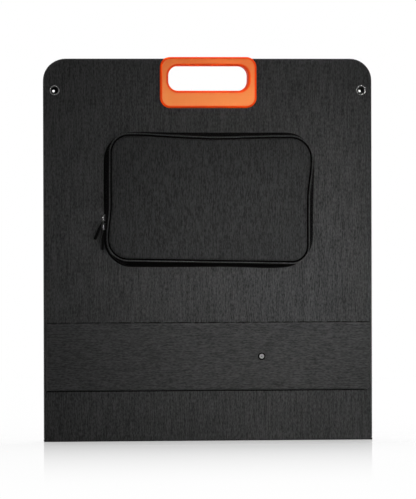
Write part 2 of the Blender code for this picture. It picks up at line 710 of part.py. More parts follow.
def make_pocket_tray(name, leaf):
    """The pocket's back and the half of its side wall that stays on the leaf."""
    tape_edge = POCKET_ZIP_DEPTH - CLEARANCE / 2 - ZIP_TAPE_WIDTH - CLEARANCE
    hinge_edge = POCKET_ZIP_DEPTH - CLEARANCE / 2
    floor = CLEARANCE + POCKET_FLOOR
    loops = [
        pocket_ring(0, CLEARANCE),
        zip_edge(0, tape_edge, hinge_edge),
        zip_edge(POCKET_WALL, tape_edge, hinge_edge),
        pocket_ring(POCKET_WALL, floor),
    ]
    add_object(name, loft(loops), leaf, "cover_fabric")


def make_pocket_lid(name, lid):
    """The pocket's front panel, crowned, with its half of the side wall and a rebate for the piping."""
    tape_edge = POCKET_ZIP_DEPTH + CLEARANCE / 2 + ZIP_TAPE_WIDTH + CLEARANCE
    hinge_edge = POCKET_ZIP_DEPTH + CLEARANCE / 2
    rebate = POCKET_DEPTH - PIPING_REBATE
    crown_inset = LID_CROWN_SHARE * (POCKET_RADIUS - POCKET_TAPER * (1 + LID_CROWN / POCKET_DEPTH))
    loops = [
        pocket_ring(PIPING_REBATE + POCKET_WALL, POCKET_DEPTH - POCKET_WALL),
        pocket_ring(POCKET_WALL, rebate - POCKET_WALL / 2),
        zip_edge(POCKET_WALL, tape_edge, hinge_edge),
        zip_edge(0, tape_edge, hinge_edge),
        pocket_ring(0, rebate),
        pocket_ring(PIPING_REBATE, POCKET_DEPTH),
        pocket_ring(crown_inset / 2, POCKET_DEPTH + LID_CROWN * 0.7),
        pocket_ring(crown_inset, POCKET_DEPTH + LID_CROWN),
    ]
    add_object(name, loft(loops), lid, "cover_fabric")


def make_piping(name, lid):
    """Corded edge that lies in the lid's rebate all round its front."""
    stand_off = (PIPING_RADIUS + CLEARANCE) / math.sqrt(2)
    inset = PIPING_REBATE / 2 - stand_off
    out = POCKET_DEPTH - PIPING_REBATE / 2 + stand_off
    loops = []
    for k in range(PIPING_SIDES):
        turn = 2 * math.pi * (k + 0.5) / PIPING_SIDES
        loops.append(pocket_ring(inset + PIPING_RADIUS * math.cos(turn), out + PIPING_RADIUS * math.sin(turn)))
    add_object(name, loft(loops, closed=True), lid, "piping_fabric")


def make_zip_tape(name, frame, direction):
    """One half of the zip, along three sides of the pocket: a tape with a coil on its edge."""
    edge = POCKET_ZIP_DEPTH + direction * CLEARANCE / 2
    tape = edge + direction * ZIP_TAPE_WIDTH
    coil = edge + direction * ZIP_COIL_WIDTH
    under = coil + direction * ZIP_COIL_PROUD
    back = ZIP_TAPE_THICKNESS + ZIP_COIL_PROUD
    section = [
        (0, tape),
        (0, under),
        (-ZIP_COIL_PROUD, coil),
        (-ZIP_COIL_PROUD, edge),
        (back, edge),
        (back, coil),
        (ZIP_TAPE_THICKNESS, under),
        (ZIP_TAPE_THICKNESS, tape),
    ]
    rings = [pocket_ring(inset, out) for inset, out in section]
    stations = range(1, len(rings[0]) - 1)
    add_object(name, loft([[ring[k] for ring in rings] for k in stations]), frame, "zip_tape")


def slider_seat():
    """X of the pocket's left wall at the zip, and how far outside it a slider's plate begins."""
    wall = -POCKET_WIDTH / 2 + POCKET_TAPER * POCKET_ZIP_DEPTH / POCKET_DEPTH
    return wall, ZIP_COIL_PROUD + POCKET_TAPER * ZIP_COIL_WIDTH / POCKET_DEPTH + CLEARANCE


def slider_axis(z):
    """Where a pull's end bar lies under its slider's bail, in the leaf frame."""
    wall, gap = slider_seat()
    return Vector((wall - gap - SLIDER_PLATE - BAIL_SPACE / 2, -POCKET_ZIP_DEPTH, z))


def make_slider(name, slider):
    """Slider plate with its bail. It is drawn facing -Y, and turned to face the pocket's left."""
    wall, gap = slider_seat()
    half, tail, length = SLIDER_WIDTH / 2, SLIDER_TAIL_WIDTH / 2, SLIDER_LENGTH / 2
    shape = [(tail, -length), (half, length / 3), (half, length), (-half, length), (-half, length / 3), (-tail, -length)]
    ring = [Vector(point) for point in shape]
    plate_bm = loft([at_depth(ring, -gap - SLIDER_PLATE), at_depth(ring, -gap)])
    body = add_object(name, plate_bm, None, "slider_metal")
    inner, outer = BAIL_LENGTH / 2 - BAIL_THICKNESS, BAIL_LENGTH / 2
    under = gap + SLIDER_PLATE + BAIL_SPACE
    foot = gap + SLIDER_PLATE / 2
    shoulder = BAIL_THICKNESS * 0.7
    arch = [
        (-outer, foot), (-outer, under), (-outer + shoulder, under + BAIL_THICKNESS),
        (outer - shoulder, under + BAIL_THICKNESS), (outer, under), (outer, foot),
        (inner, foot), (inner, under), (-inner, under), (-inner, foot),
    ]
    sides = [[Vector((x, -out, z)) for z, out in arch] for x in (-BAIL_WIDTH / 2, BAIL_WIDTH / 2)]
    bail = add_object(f"{name}_bail", loft(sides), None, "slider_metal")
    boolean(body, bail, "UNION")
    for obj in (body, bail):
        obj.parent = slider.empty
        obj.location = Vector((wall, -POCKET_ZIP_DEPTH, slider.home.z)) - slider.home
        obj.rotation_euler = (0, 0, -math.pi / 2)


def make_pull(name, pull):
    """Pull tab that hangs from its end bar under the slider's bail."""
    window_width = BAIL_WIDTH + 2 * PULL_WINDOW_SPARE
    top = PULL_END_BAR / 2
    window_length = BAIL_LENGTH / 2 + PULL_WINDOW_SPARE - top
    tab = rectangle(PULL_WIDTH, PULL_LENGTH, top - PULL_LENGTH / 2, PULL_WIDTH / 4)
    window = rectangle(window_width, window_length, -top - window_length / 2, window_width / 5)
    half = PULL_THICKNESS / 2
    hole = (at_depth(outline(window, steps=2), -half), at_depth(outline(window, steps=2), half))
    loops = [at_depth(outline(tab, steps=3), -half), at_depth(outline(tab, steps=3), half)]
    obj = add_object(name, loft(loops, [hole]), None, "pull_rubber")
    obj.parent = pull.empty
    obj.rotation_euler = (0, 0, -math.pi / 2)


def make_junction_box(leaf):
    """Output box on the pocket's back: a flanged base, its lid, and the gland that the lead leaves by."""
    seat = -2 * CLEARANCE - POCKET_FLOOR
    flange = rectangle(BOX_WIDTH + 2 * BOX_FLANGE, BOX_HEIGHT, BOX_CENTRE_Z, BOX_RADIUS, BOX_X)
    body = rectangle(BOX_WIDTH, BOX_HEIGHT, BOX_CENTRE_Z, BOX_RADIUS, BOX_X)
    step = COVER_EDGE_ROUND / 2
    base_top = seat - BOX_BASE_DEPTH
    loops = [
        at_depth(outline(flange), seat),
        at_depth(outline(flange), seat - BOX_FLANGE_DEPTH),
        at_depth(outline(body, step), seat - BOX_FLANGE_DEPTH),
        at_depth(outline(body, step), base_top),
    ]
    add_object("junction_box_base", loft(loops), leaf, "box_plastic")
    lid_seat = base_top - CLEARANCE
    lid_top = lid_seat - BOX_LID_DEPTH
    loops = [at_depth(outline(body), lid_seat)]
    loops += [at_depth(outline(body, inset), lid_top + drop) for inset, drop in fillet(BOX_LID_ROUND, steps=2)]
    add_object("junction_box_lid", loft(loops), leaf, "box_plastic")
    make_gland(leaf, seat)


def make_gland(leaf, seat):
    """Cable gland under the box: a six-sided nut and a round dome with an open bore."""
    bottom = BOX_CENTRE_Z - BOX_HEIGHT / 2
    axis_depth = seat - GLAND_RADIUS - CLEARANCE
    nut = GLAND_RADIUS
    neck = GLAND_RADIUS * 0.8
    steps = [
        (nut, -CLEARANCE),
        (nut, -GLAND_NUT_LENGTH),
        (neck, -GLAND_NUT_LENGTH - CLEARANCE),
        (neck, -GLAND_LENGTH * 0.75),
        (GLAND_BORE_RADIUS * 1.25, -GLAND_LENGTH),
        (GLAND_BORE_RADIUS, -GLAND_LENGTH),
        (GLAND_BORE_RADIUS, -CLEARANCE),
    ]
    sides = 12
    centre_x = BOX_X + GLAND_X
    loops = []
    for radius, drop in steps:
        spots = circle(centre_x, axis_depth, radius, sides)
        loops.append([Vector((p.x, p.y, bottom + drop)) for p in spots])
    add_object("cable_gland", loft(loops, closed=True), leaf, "box_plastic")


def make_spine(spine):
    """Fabric channel under the case, with the flat link between the modules and a lining over it."""
    half_length = LEAF_WIDTH / 2
    channel = [
        (HALF_CASE, 0, SPINE_CORNER_RADIUS),
        (HALF_CASE, SPINE_LIP, 0),
        (HALF_CASE - SPINE_SKIN, SPINE_LIP, 0),
        (HALF_CASE - SPINE_SKIN, SPINE_SKIN, SPINE_CORNER_RADIUS - SPINE_SKIN),
        (-HALF_CASE + SPINE_SKIN, SPINE_SKIN, SPINE_CORNER_RADIUS - SPINE_SKIN),
        (-HALF_CASE + SPINE_SKIN, SPINE_LIP, 0),
        (-HALF_CASE, SPINE_LIP, 0),
        (-HALF_CASE, 0, SPINE_CORNER_RADIUS),
    ]
    section = outline(channel, steps=3)
    ends = [[Vector((x, p.x, p.y)) for p in section] for x in (-half_length, half_length)]
    add_object("spine_cover", loft(ends), spine, "cover_fabric")
    link_base = SPINE_SKIN + CLEARANCE
    lining_base = link_base + LINK_THICKNESS + CLEARANCE
    half_width = HALF_CASE - SPINE_SKIN - CLEARANCE
    layers = (
        ("module_link", LINK_X - LINK_WIDTH / 2, LINK_X + LINK_WIDTH / 2, link_base, LINK_THICKNESS, "link_copper"),
        ("spine_lining", -half_length, half_length, lining_base, SPINE_LINING_THICKNESS, "lining_fabric"),
    )
    for name, left, right, base, thickness, finish_name in layers:
        shape = [(-half_width, base), (half_width, base), (half_width, base + thickness), (-half_width, base + thickness)]
        strip = loft([[Vector((x, y, z)) for y, z in shape] for x in (left, right)])
        add_object(name, strip, spine, finish_name)


def make_leaf(side, leaf):
    """Everything that both leaves have."""
    make_cover(f"{side}_cover", leaf)
    make_board(f"{side}_board", leaf)
    make_lining(f"{side}_lining", leaf)
    make_module(side, leaf)
    make_handle_outer(f"{side}_handle_outer", leaf)
    make_handle_inner(f"{side}_handle_inner", leaf)
    make_eyelets(side, leaf)
    make_snap_stud(f"{side}_snap_stud", leaf)
    stand = Frame(f"{side}_stand_hinge", leaf, (0, -STAND_AXIS_DEPTH, STAND_TOP))
    make_stand(side, stand)


def make_pocket(leaf):
    """The zipped pocket on the front leaf, with its box, sliders and pulls."""
    make_pocket_tray("pocket_tray", leaf)
    make_zip_tape("zip_tape_tray", leaf, -1)
    make_junction_box(leaf)
    hinge_z = POCKET_BOTTOM + POCKET_TAPER * POCKET_ZIP_DEPTH / POCKET_DEPTH
    lid = Frame("pocket_lid_hinge", leaf, (0, -POCKET_ZIP_DEPTH, hinge_z))
    make_pocket_lid("pocket_lid", lid)
    make_zip_tape("zip_tape_lid", lid, 1)
    make_piping("pocket_piping", lid)
    pairs = (("upper", SLIDER_UPPER_Z, UPPER_PULL_TILT), ("lower", SLIDER_LOWER_Z, LOWER_PULL_TILT))
    for label, z, tilt in pairs:
        slider = Frame(f"{label}_slider_frame", leaf, slider_axis(z))
        make_slider(f"zip_slider_{label}", slider)
        pull = Frame(f"{label}_pull_axis", slider, slider_axis(z), turn=(0, tilt, 0))
        make_pull(f"zip_pull_{label}", pull)


def clear_scene():
    for obj in list(bpy.data.objects):
        bpy.data.objects.remove(obj, do_unlink=True)


def main():
    clear_scene()
    make_spine(Frame("spine_frame"))
    crease = (0, 0, CREASE_Z)
    front = Frame("front_fold_axis", home=crease, place=(0, -HALF_CASE, CREASE_Z))
    rear = Frame("rear_fold_axis", home=crease, place=(0, HALF_CASE, CREASE_Z), turn=(0, 0, math.pi))
    make_leaf("front", front)
    make_leaf("rear", rear)
    make_pocket(front)


main()
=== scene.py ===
import math

import bmesh
import bpy
import numpy as np
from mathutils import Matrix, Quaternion, Vector


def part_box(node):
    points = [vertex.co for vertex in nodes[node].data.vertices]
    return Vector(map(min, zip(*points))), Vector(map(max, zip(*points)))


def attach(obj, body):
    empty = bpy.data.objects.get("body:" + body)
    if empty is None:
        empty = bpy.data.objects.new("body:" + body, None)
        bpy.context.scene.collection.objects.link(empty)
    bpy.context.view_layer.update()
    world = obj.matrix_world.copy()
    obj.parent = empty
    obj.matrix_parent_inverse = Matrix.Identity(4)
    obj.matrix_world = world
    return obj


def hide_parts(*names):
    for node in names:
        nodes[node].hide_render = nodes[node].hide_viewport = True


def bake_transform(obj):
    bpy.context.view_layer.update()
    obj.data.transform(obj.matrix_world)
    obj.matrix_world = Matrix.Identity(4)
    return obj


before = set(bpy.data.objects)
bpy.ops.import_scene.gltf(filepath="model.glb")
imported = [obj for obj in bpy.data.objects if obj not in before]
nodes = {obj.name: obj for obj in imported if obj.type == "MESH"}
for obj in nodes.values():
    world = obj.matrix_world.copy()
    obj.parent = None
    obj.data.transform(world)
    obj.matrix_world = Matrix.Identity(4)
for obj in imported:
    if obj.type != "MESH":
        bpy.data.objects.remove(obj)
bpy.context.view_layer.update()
print("frame loaded:", len(nodes), "nodes")

# sizes read from the frame, so that the dressing follows it
mm = 0.001
coverLow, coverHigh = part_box("front_cover")
leafHalf = -coverLow.y  # mid-plane to a leaf's outer face
leafDeep = coverHigh.y - coverLow.y
leafWide = coverHigh.x - coverLow.x
leafTop, leafFoot = coverHigh.z, coverLow.z
gripLow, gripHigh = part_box("front_handle_outer")
filmLow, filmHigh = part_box("front_clear_film")
flapLow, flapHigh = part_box("front_stand_cover")
trayLow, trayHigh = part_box("pocket_tray")
eyeletLow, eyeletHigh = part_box("front_eyelet_right")
snapLow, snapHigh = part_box("front_snap_cap")


def ends(count=1):
    # fills for a piece of count stacks: one flat face over their first rings and one over their last
    return [[(k, row) for k in range(count)] for row in (0, -1)]


def gridQuads(rows, cols, wrapRows, wrapCols, start):
    # quads between neighbours of a rows by cols grid of points, numbered from start
    r, c = np.arange(rows - (not wrapRows))[:, None], np.arange(cols - (not wrapCols))
    r2, c2 = (r + 1) % rows, (c + 1) % cols
    return start + np.stack([r * cols + c, r * cols + c2, r2 * cols + c2, r2 * cols + c], -1).reshape(-1, 4)


def addObject(name, data):
    made = bpy.data.objects.new(name, data)
    bpy.context.scene.collection.objects.link(made)
    return made


def meshPiece(name, verts, faces, material, fills=(), sharp=180):
    # each fill is a list of rings, given by first point and count, that one flat face closes
    mesh = bpy.data.meshes.new(name)
    mesh.from_pydata(verts.tolist(), [], faces.tolist())
    work = bmesh.new()
    work.from_mesh(mesh)
    work.verts.ensure_lookup_table()
    for rings in fills:
        edges = []
        for first, count in rings:
            ring = work.verts[first:first + count]
            edges += [work.edges.get(pair) or work.edges.new(pair) for pair in zip(ring, ring[1:] + ring[:1])]
        bmesh.ops.triangle_fill(work, edges=edges, use_beauty=True)
    bmesh.ops.remove_doubles(work, verts=work.verts, dist=2e-6)
    bmesh.ops.recalc_face_normals(work, faces=work.faces)
    work.to_mesh(mesh)
    work.free()
    mesh.materials.append(material)
    mesh.shade_smooth()
    mesh.set_sharp_from_angle(angle=math.radians(sharp))
    return addObject(name, mesh)


def buildPiece(name, stacks, material, fills=(), sharp=38):
    # a stack is a grid of points, rings one after another, or such a grid with its two wrap flags;
    # a fill names rings as (stack, row) pairs
    stacks = [stack if isinstance(stack, tuple) else (stack, False, True) for stack in stacks]
    sizes = [grid.shape[:2] for grid, _, _ in stacks]
    starts = [int(n) for n in np.cumsum([0] + [rows * cols for rows, cols in sizes])]
    verts = np.concatenate([grid.reshape(-1, 3) for grid, _, _ in stacks])
    quads = [gridQuads(*size, a, b, first) for size, (_, a, b), first in zip(sizes, stacks, starts)]
    rings = [[(starts[k] + row % sizes[k][0] * sizes[k][1], sizes[k][1]) for k, row in fill] for fill in fills]
    return meshPiece(name, verts, np.concatenate(quads), material, rings, sharp)


def fit(piece, body, slot, *replaced):
    if replaced:
        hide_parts(*replaced)
    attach(piece, body)


def dress(name, stacks, material, body, slot, *replaced, fills=(), sharp=38):
    fit(buildPiece(name, stacks, material, fills, sharp), body, slot, *replaced)


def unit(v):
    return v / np.linalg.norm(v, axis=-1, keepdims=True)


def circle(count):
    return np.linspace(0, 2 * math.pi, count, endpoint=False)


def squared(c, power):
    # a cosine or sine pushed out towards a square, with its sign kept
    return np.sign(c) * np.abs(c) ** power


def points(*parts):
    return np.stack(np.broadcast_arrays(*parts), -1)


def smoothStep(t):
    # eases from nought to one
    t = np.clip(t, 0, 1)
    return t * t * (3 - 2 * t)


def roundOff(t, least=0):
    # a quarter circle, from one at nought down to least at one
    return np.sqrt(np.clip(1 - np.clip(t, 0, 1) ** 2, least, 1))


def runLength(path):
    return np.concatenate([[0], np.cumsum(np.linalg.norm(np.diff(path, axis=0), axis=1))])


def pick(at, run, path):
    return np.stack([np.interp(at, run, path[:, k]) for k in range(3)], -1)


def cornerPath(corners, inset=0.0, arc=8, edge=1):
    # right-angled outline with round corners (x, z, radius), moved in by inset; every corner has arc steps
    # and every straight run has edge steps, so outlines of one shape match point by point
    spot, radius = np.split(np.array(corners, float), [2], axis=1)
    arrive = unit(spot - np.roll(spot, 1, 0))
    leave = np.roll(arrive, -1, 0)
    turn = np.round(arrive[:, :1] * leave[:, 1:] - arrive[:, 1:] * leave[:, :1])
    corner = spot + inset * (arrive + leave)[:, ::-1] * (-1, 1)
    reach = np.maximum(radius - turn * inset, 0.05 * mm)
    spoke = -reach * leave
    centre = corner - reach * arrive + reach * leave
    angle = turn * np.linspace(0, math.pi / 2, arc + 1)
    c, s = np.cos(angle), np.sin(angle)
    arcs = centre[:, None] + np.stack([spoke[:, :1] * c - spoke[:, 1:] * s, spoke[:, :1] * s + spoke[:, 1:] * c], -1)
    share = (np.arange(1, edge) / edge)[None, :, None]
    runs = arcs[:, -1:] * (1 - share) + np.roll(arcs, -1, 0)[:, :1] * share
    return np.concatenate([arcs, runs], 1).reshape(-1, 2)


def box2d(left, right, low, high, radius):
    # corners of an upright rectangle, from lower right round to lower left, with one radius or four
    spots = ((right, low), (right, high), (left, high), (left, low))
    return [(*spot, r) for spot, r in zip(spots, np.broadcast_to(radius, 4))]


def leafPoint(flat, depth, side):
    # leaf frame to world: depth runs inwards from the outer face, and the rear leaf is turned half round
    turned = 1 if side == "front" else -1
    return points(turned * flat[..., 0], turned * (depth - leafHalf), flat[..., 1])


def ringStack(corners, profile, side, arc):
    # profile of (inset, depth) pairs in mm, carried round an outline
    return np.stack([leafPoint(cornerPath(corners, a * mm, arc), b * mm, side) for a, b in profile])


def soften(profile, rounds=2, closed=False):
    # cuts the corners of a profile: each pass puts points at a quarter and three quarters of every run
    p = np.array(profile, float)
    for _ in range(rounds):
        q = np.roll(p, -1, 0) if closed else p[1:]
        a = p if closed else p[:-1]
        cut = np.stack([0.75 * a + 0.25 * q, 0.25 * a + 0.75 * q], 1).reshape(-1, 2)
        p = cut if closed else np.concatenate([p[:1], cut, p[-1:]])
    return p


def turnedStack(profile, x, z, side, segments):
    # (radius, depth) pairs in mm, carried round an axis along the depth
    p = np.array(profile, float) * mm
    a = circle(segments)
    return leafPoint(points(x + p[:, :1] * np.cos(a), z + p[:, :1] * np.sin(a)), p[:, 1:], side)


def tubeStack(path, radius, sides, up, closed=False):
    # a circle carried along a path, square to it, with up as the guide for its turn
    ahead = unit((np.roll(path, -1, 0) - np.roll(path, 1, 0)) if closed else np.gradient(path, axis=0))
    across = unit(np.cross(ahead, np.array(up, float)))
    over = np.cross(across, ahead)
    a = circle(sides)[None, :, None]
    return path[:, None] + radius * (np.cos(a) * across[:, None] + np.sin(a) * over[:, None])


def sweepX(x, section):
    # a closed section of (y, z) points carried along x
    return points(x[:, None], section[:, 0], section[:, 1])


def srgb(levels):
    # screen levels, one for grey or three, to a linear colour
    c = np.broadcast_to(levels, 3) / 255
    linear = np.where(c <= 0.04045, c / 12.92, ((c + 0.055) / 1.055) ** 2.4)
    return (*linear.tolist(), 1.0)


def feed(tree, made, feeds):
    # links what is a socket, and sets what is a plain value on the node's own socket
    for key, value in feeds.items():
        if isinstance(value, bpy.types.NodeSocket):
            tree.links.new(value, made.inputs[key])
        else:
            made.inputs[key].default_value = value


def wire(tree, kind, feeds=None, **settings):
    made = tree.nodes.new("ShaderNode" + kind)
    for key, value in settings.items():
        setattr(made, key, value)
    feed(tree, made, feeds or {})
    return made


def newGroup(name, inputs, outputs):
    group = bpy.data.node_groups.new(name, "ShaderNodeTree")
    for way, sockets in (("INPUT", inputs), ("OUTPUT", outputs)):
        for label, kind in sockets.items():
            group.interface.new_socket(label, in_out=way, socket_type="NodeSocket" + kind)
    return group, group.nodes.new("NodeGroupInput").outputs, group.nodes.new("NodeGroupOutput")


def calc(tree, operation, *terms):
    # more than two terms make a chain
    made = wire(tree, "Math", dict(enumerate(terms[:2])), operation=operation).outputs[0]
    return calc(tree, operation, made, *terms[2:]) if terms[2:] else made


def times(tree, *terms):
    return calc(tree, "MULTIPLY", *terms)


def weigh(tree, *pairs):
    # sum of values, each times its weight
    return calc(tree, "ADD", *[times(tree, *pair) for pair in pairs])


def vector(tree, operation, *terms):
    return wire(tree, "VectorMath", dict(enumerate(terms)), operation=operation).outputs


def mixColour(tree, factor, first, second):
    return wire(tree, "Mix", {0: factor, 6: first, 7: second}, data_type="RGBA").outputs[2]


def noise(tree, coord, scale, detail, rough):
    return wire(tree, "TexNoise", {"Vector": coord, "Scale": scale, "Detail": detail, "Roughness": rough}).outputs[0]


def spread(tree, value, low, high, outLow=0.0, outHigh=1.0):
    return wire(tree, "MapRange", {0: value, 1: low, 2: high, 3: outLow, 4: outHigh}).outputs[0]


heatherSet = {
    "streaks": (640, 640, 38), "flecks": (600, 600, 190), "cloud": 14.0,  # noise per metre
    "shares": (0.34, 0.60, 0.06), "contrast": (0.38, 0.62), "weave": 0.12,
}


def heatherGroup(s):
    # mottled yarn: long thin streaks of lighter and darker thread, over a plain weave of crossing sines
    inputs = {"Coord": "Vector", "Dark": "Color", "Light": "Color", "Threads": "Float"}
    group, come, go = newGroup("heatherCloth", inputs, {"Color": "Color", "Height": "Float", "Streak": "Float"})
    a = noise(group, vector(group, "MULTIPLY", come["Coord"], s["streaks"])[0], 1.0, 1.0, 0.5)
    b = noise(group, vector(group, "MULTIPLY", come["Coord"], s["flecks"])[0], 1.0, 2.0, 0.5)
    cloud = noise(group, come["Coord"], s["cloud"], 2.0, 0.5)
    streak = spread(group, weigh(group, *zip((a, b, cloud), s["shares"])), *s["contrast"])
    parts = wire(group, "SeparateXYZ", {0: come["Coord"]}).outputs
    pitch = times(group, come["Threads"], math.pi)
    across = calc(group, "SINE", times(group, calc(group, "ADD", parts[0], parts[1]), pitch))
    along = calc(group, "SINE", times(group, parts[2], pitch))
    weave = times(group, across, along)
    thread = calc(group, "ADD", times(group, weave, s["weave"]), streak)
    height = weigh(group, (weave, 0.5), (streak, 0.6))
    colour = mixColour(group, thread, come["Dark"], come["Light"])
    feed(group, go, {"Color": colour, "Height": height, "Streak": streak})
    return group


def grainGroup():
    # moulded or cast skin: fine even grain, with broad soft clouds for handling marks
    inputs = {"Coord": "Vector", "Grain": "Float"}
    group, come, go = newGroup("mouldedGrain", inputs, {"Height": "Float", "Cloud": "Float"})
    cloud = spread(group, noise(group, come["Coord"], 38.0, 3.0, 0.55), 0.3, 0.7)
    feed(group, go, {"Height": noise(group, come["Coord"], come["Grain"], 3.0, 0.6), "Cloud": cloud})
    return group


heather = heatherGroup(heatherSet)
grain = grainGroup()


def startMaterial(name):
    material = bpy.data.materials.new(name)
    material.use_nodes = True
    tree = material.node_tree
    coord = wire(tree, "TexCoord").outputs["Object"]
    return material, tree, tree.nodes["Principled BSDF"], coord


def grained(name, scale, height, distance=0.0001):
    # a material with the moulded skin's bump, ready for its colour
    material, tree, shader, coord = startMaterial(name)
    skin = wire(tree, "Group", {"Coord": coord, "Grain": scale}, node_tree=grain).outputs
    bump = wire(tree, "Bump", {"Height": skin["Height"], "Strength": height, "Distance": distance})
    feed(tree, shader, {"Normal": bump.outputs[0]})
    return material, tree, shader, coord, skin["Cloud"]


def clothMaterial(name, dark, light, turn=(0, 0, 0), threads=1400.0, sheen=0.02, gloss=0.07):
    material, tree, shader, coord = startMaterial(name)
    turned = wire(tree, "Mapping", {"Vector": coord, "Rotation": turn}).outputs[0]
    feeds = {"Coord": turned, "Dark": srgb(dark), "Light": srgb(light), "Threads": threads}
    cloth = wire(tree, "Group", feeds, node_tree=heather).outputs
    bump = wire(tree, "Bump", {"Height": cloth["Height"], "Strength": 0.35, "Distance": 0.00018})
    feed(tree, shader, {
        "Base Color": cloth["Color"], "Roughness": spread(tree, cloth["Streak"], 0.0, 1.0, 0.74, 0.60),
        "Sheen Weight": sheen, "Sheen Roughness": 0.5, "Specular IOR Level": gloss, "Normal": bump.outputs[0],
    })
    return material


def mouldedMaterial(name, colour, deep, rough, grainScale=1600.0, height=0.12, metal=0.0, gloss=0.5):
    material, tree, shader, _, cloud = grained(name, grainScale, height)
    feed(tree, shader, {
        "Base Color": mixColour(tree, cloud, srgb(deep), srgb(colour)), "Metallic": metal, "Specular IOR Level": gloss,
        "Roughness": spread(tree, cloud, 0.0, 1.0, rough + 0.07, rough - 0.05),
    })
    return material


orangeSet = {
    "pale": srgb((250, 143, 76)), "deep": srgb((252, 72, 3)),
    "paintedSheen": (2.72, 2.97),  # mm proud of the leaf where the painted sheen starts and is full
    "lower": 20, "upper": 10, "thin": 0.72,  # mm in from the handle's foot and top, between which the painted sheen thins towards the top
}


def handleMaterial(s):
    # satin plastic with painted sheen: the flat outer faces are painted paler, less so towards the top, and the rounds
    # and the inside keep the full colour
    material, tree, shader, coord, cloud = grained("handleOrange", 1500.0, 0.12)
    parts = wire(tree, "SeparateXYZ", {0: coord}).outputs
    proud = spread(tree, calc(tree, "ABSOLUTE", parts[1]), *[leafHalf + out * mm for out in s["paintedSheen"]])
    rise = spread(tree, parts[2], gripLow.z + s["lower"] * mm, gripHigh.z - s["upper"] * mm, 1.0, s["thin"])
    # painted sheen: paler colour on the faces proud of the leaf, thinner towards the top
    paintedSheen = times(tree, proud, rise, spread(tree, cloud, 0.0, 1.0, 0.9, 1.0))
    feed(tree, shader, {
        "Base Color": mixColour(tree, paintedSheen, s["deep"], s["pale"]), "Specular IOR Level": 0.05,
        "Roughness": spread(tree, cloud, 0.0, 1.0, 0.5, 0.42),
    })
    return material


def boreShadedMaterial(name, bright, dark, inner, outer):
    # plated metal with painted shade down its bore: bright on its crest, painted dark and rougher down the bore, by
    # distance from the fold's mid-plane
    material, tree, shader, coord, cloud = grained(name, 900.0, 0.05)
    away = calc(tree, "ABSOLUTE", wire(tree, "SeparateXYZ", {0: coord}).outputs[1])
    crest = times(tree, spread(tree, away, inner, outer), spread(tree, cloud, 0.0, 1.0, 0.85, 1.0))
    feed(tree, shader, {
        "Base Color": mixColour(tree, crest, srgb(dark), srgb(bright)), "Metallic": 1,
        "Roughness": spread(tree, crest, 0.0, 1.0, 0.6, 0.17),
    })
    return material


coverCloth = clothMaterial("coverCloth", 27, 55)
flapCloth = clothMaterial("flapCloth", 31, 53, turn=(0, math.pi / 2, 0))
liningCloth = clothMaterial("liningCloth", (22, 22, 23), (34, 34, 35), threads=1800.0)
pocketCloth = clothMaterial("pocketCloth", 19, 41)
# near-black cloth as painted shade: it stands for the shade on the pocket's walls and in the groove under the piping,
# the shadow below the flap's free edge and the shadow of the gap round the snap cap
paintedShadeCloth = clothMaterial("paintedShadeCloth", 1, 5, threads=1800.0, sheen=0.0, gloss=0.02)
pipingCloth = clothMaterial("pipingCloth", 36, 57)
tapeCloth = clothMaterial("tapeCloth", 3, 9, threads=2200.0, sheen=0.0, gloss=0.03)
handleOrange = handleMaterial(orangeSet)
# the eyelets' nickel: the dark level is painted shade down the bores
nickel = boreShadedMaterial("nickel", (112, 112, 111), 14, leafHalf + 0.7 * mm, leafHalf + 1.4 * mm)
snapNickel = mouldedMaterial("snapNickel", (104, 104, 103), (88, 88, 87), 0.42, 900.0, 0.06, 1.0)
dullNickel = mouldedMaterial("dullNickel", (150, 150, 149), (128, 128, 127), 0.36, 900.0, 0.06, 1.0)
sliderMetal = mouldedMaterial("sliderMetal", 150, 130, 0.25, 900.0, 0.06, 1.0)
sliderBlack = mouldedMaterial("sliderBlack", 12, 8, 0.45, gloss=0.1)
coilNylon = mouldedMaterial("coilNylon", 10, 6, 0.4, gloss=0.06)
pullRubber = mouldedMaterial("pullRubber", 5, 3, 0.6, gloss=0.025)
boxPlastic = mouldedMaterial("boxPlastic", (30, 30, 31), (23, 23, 24), 0.45)
coreBoard = mouldedMaterial("coreBoard", (200, 194, 180), (186, 180, 166), 0.7, 400.0, 0.2)
copper = mouldedMaterial("copper", (214, 150, 116), (190, 126, 94), 0.35, 700.0, 0.1, 1.0)
backSheet = mouldedMaterial("backSheet", (24, 25, 27), (18, 19, 21), 0.5)
thread = mouldedMaterial("thread", (60, 60, 62), (44, 44, 46), 0.7, 3000.0, 0.3)
print("materials ready")

viewSet = {
    "azimuth": -6.0, "elevation": 0.62, "distance": 7.8, "roll": -0.145, "target": (-0.0011, -0.0118, 0.3155),
    "tall": 0.8225,  # metres across the frame's height at the target
    "sensor": 24,
}


def setCamera(s):
    a, e = math.radians(s["azimuth"]), math.radians(s["elevation"])
    out = Vector((math.sin(a) * math.cos(e), -math.cos(a) * math.cos(e), math.sin(e)))
    lens = bpy.data.cameras.new("camera")
    lens.sensor_fit = "VERTICAL"
    lens.sensor_height = s["sensor"]
    lens.lens = s["sensor"] * s["distance"] / s["tall"]
    lens.clip_end = 100
    camera = addObject("camera", lens)
    camera.location = Vector(s["target"]) + s["distance"] * out
    camera.rotation_mode = "QUATERNION"
    camera.rotation_quaternion = out.to_track_quat("Z", "Y") @ Quaternion((0, 0, 1), math.radians(s["roll"]))
    bpy.context.scene.camera = camera


setCamera(viewSet)
print("camera set")

lightSet = {
    "lamps": {  # place, aim, size, power and spread in degrees
        "key": ((0.42, -2.4, 0.42), (0.14, 0, 0.265), 0.5, 1.32, 21),
        "fill": ((-0.9, -2.4, 1.3), (0, 0, 0.45), 1.2, 17, 180),
        "top": ((0.0, 0.45, 2.3), (0, 0, 0), 1.8, 50, 180),
        "back": ((1.3, 2.3, 1.0), (0, 0, 0.3), 1.6, 34, 180),
    },
    "sky": 0.10, "room": 0.10,
    "band": (0.10, 0.40),  # rise of the view where the white horizon starts to fade, and is gone
}


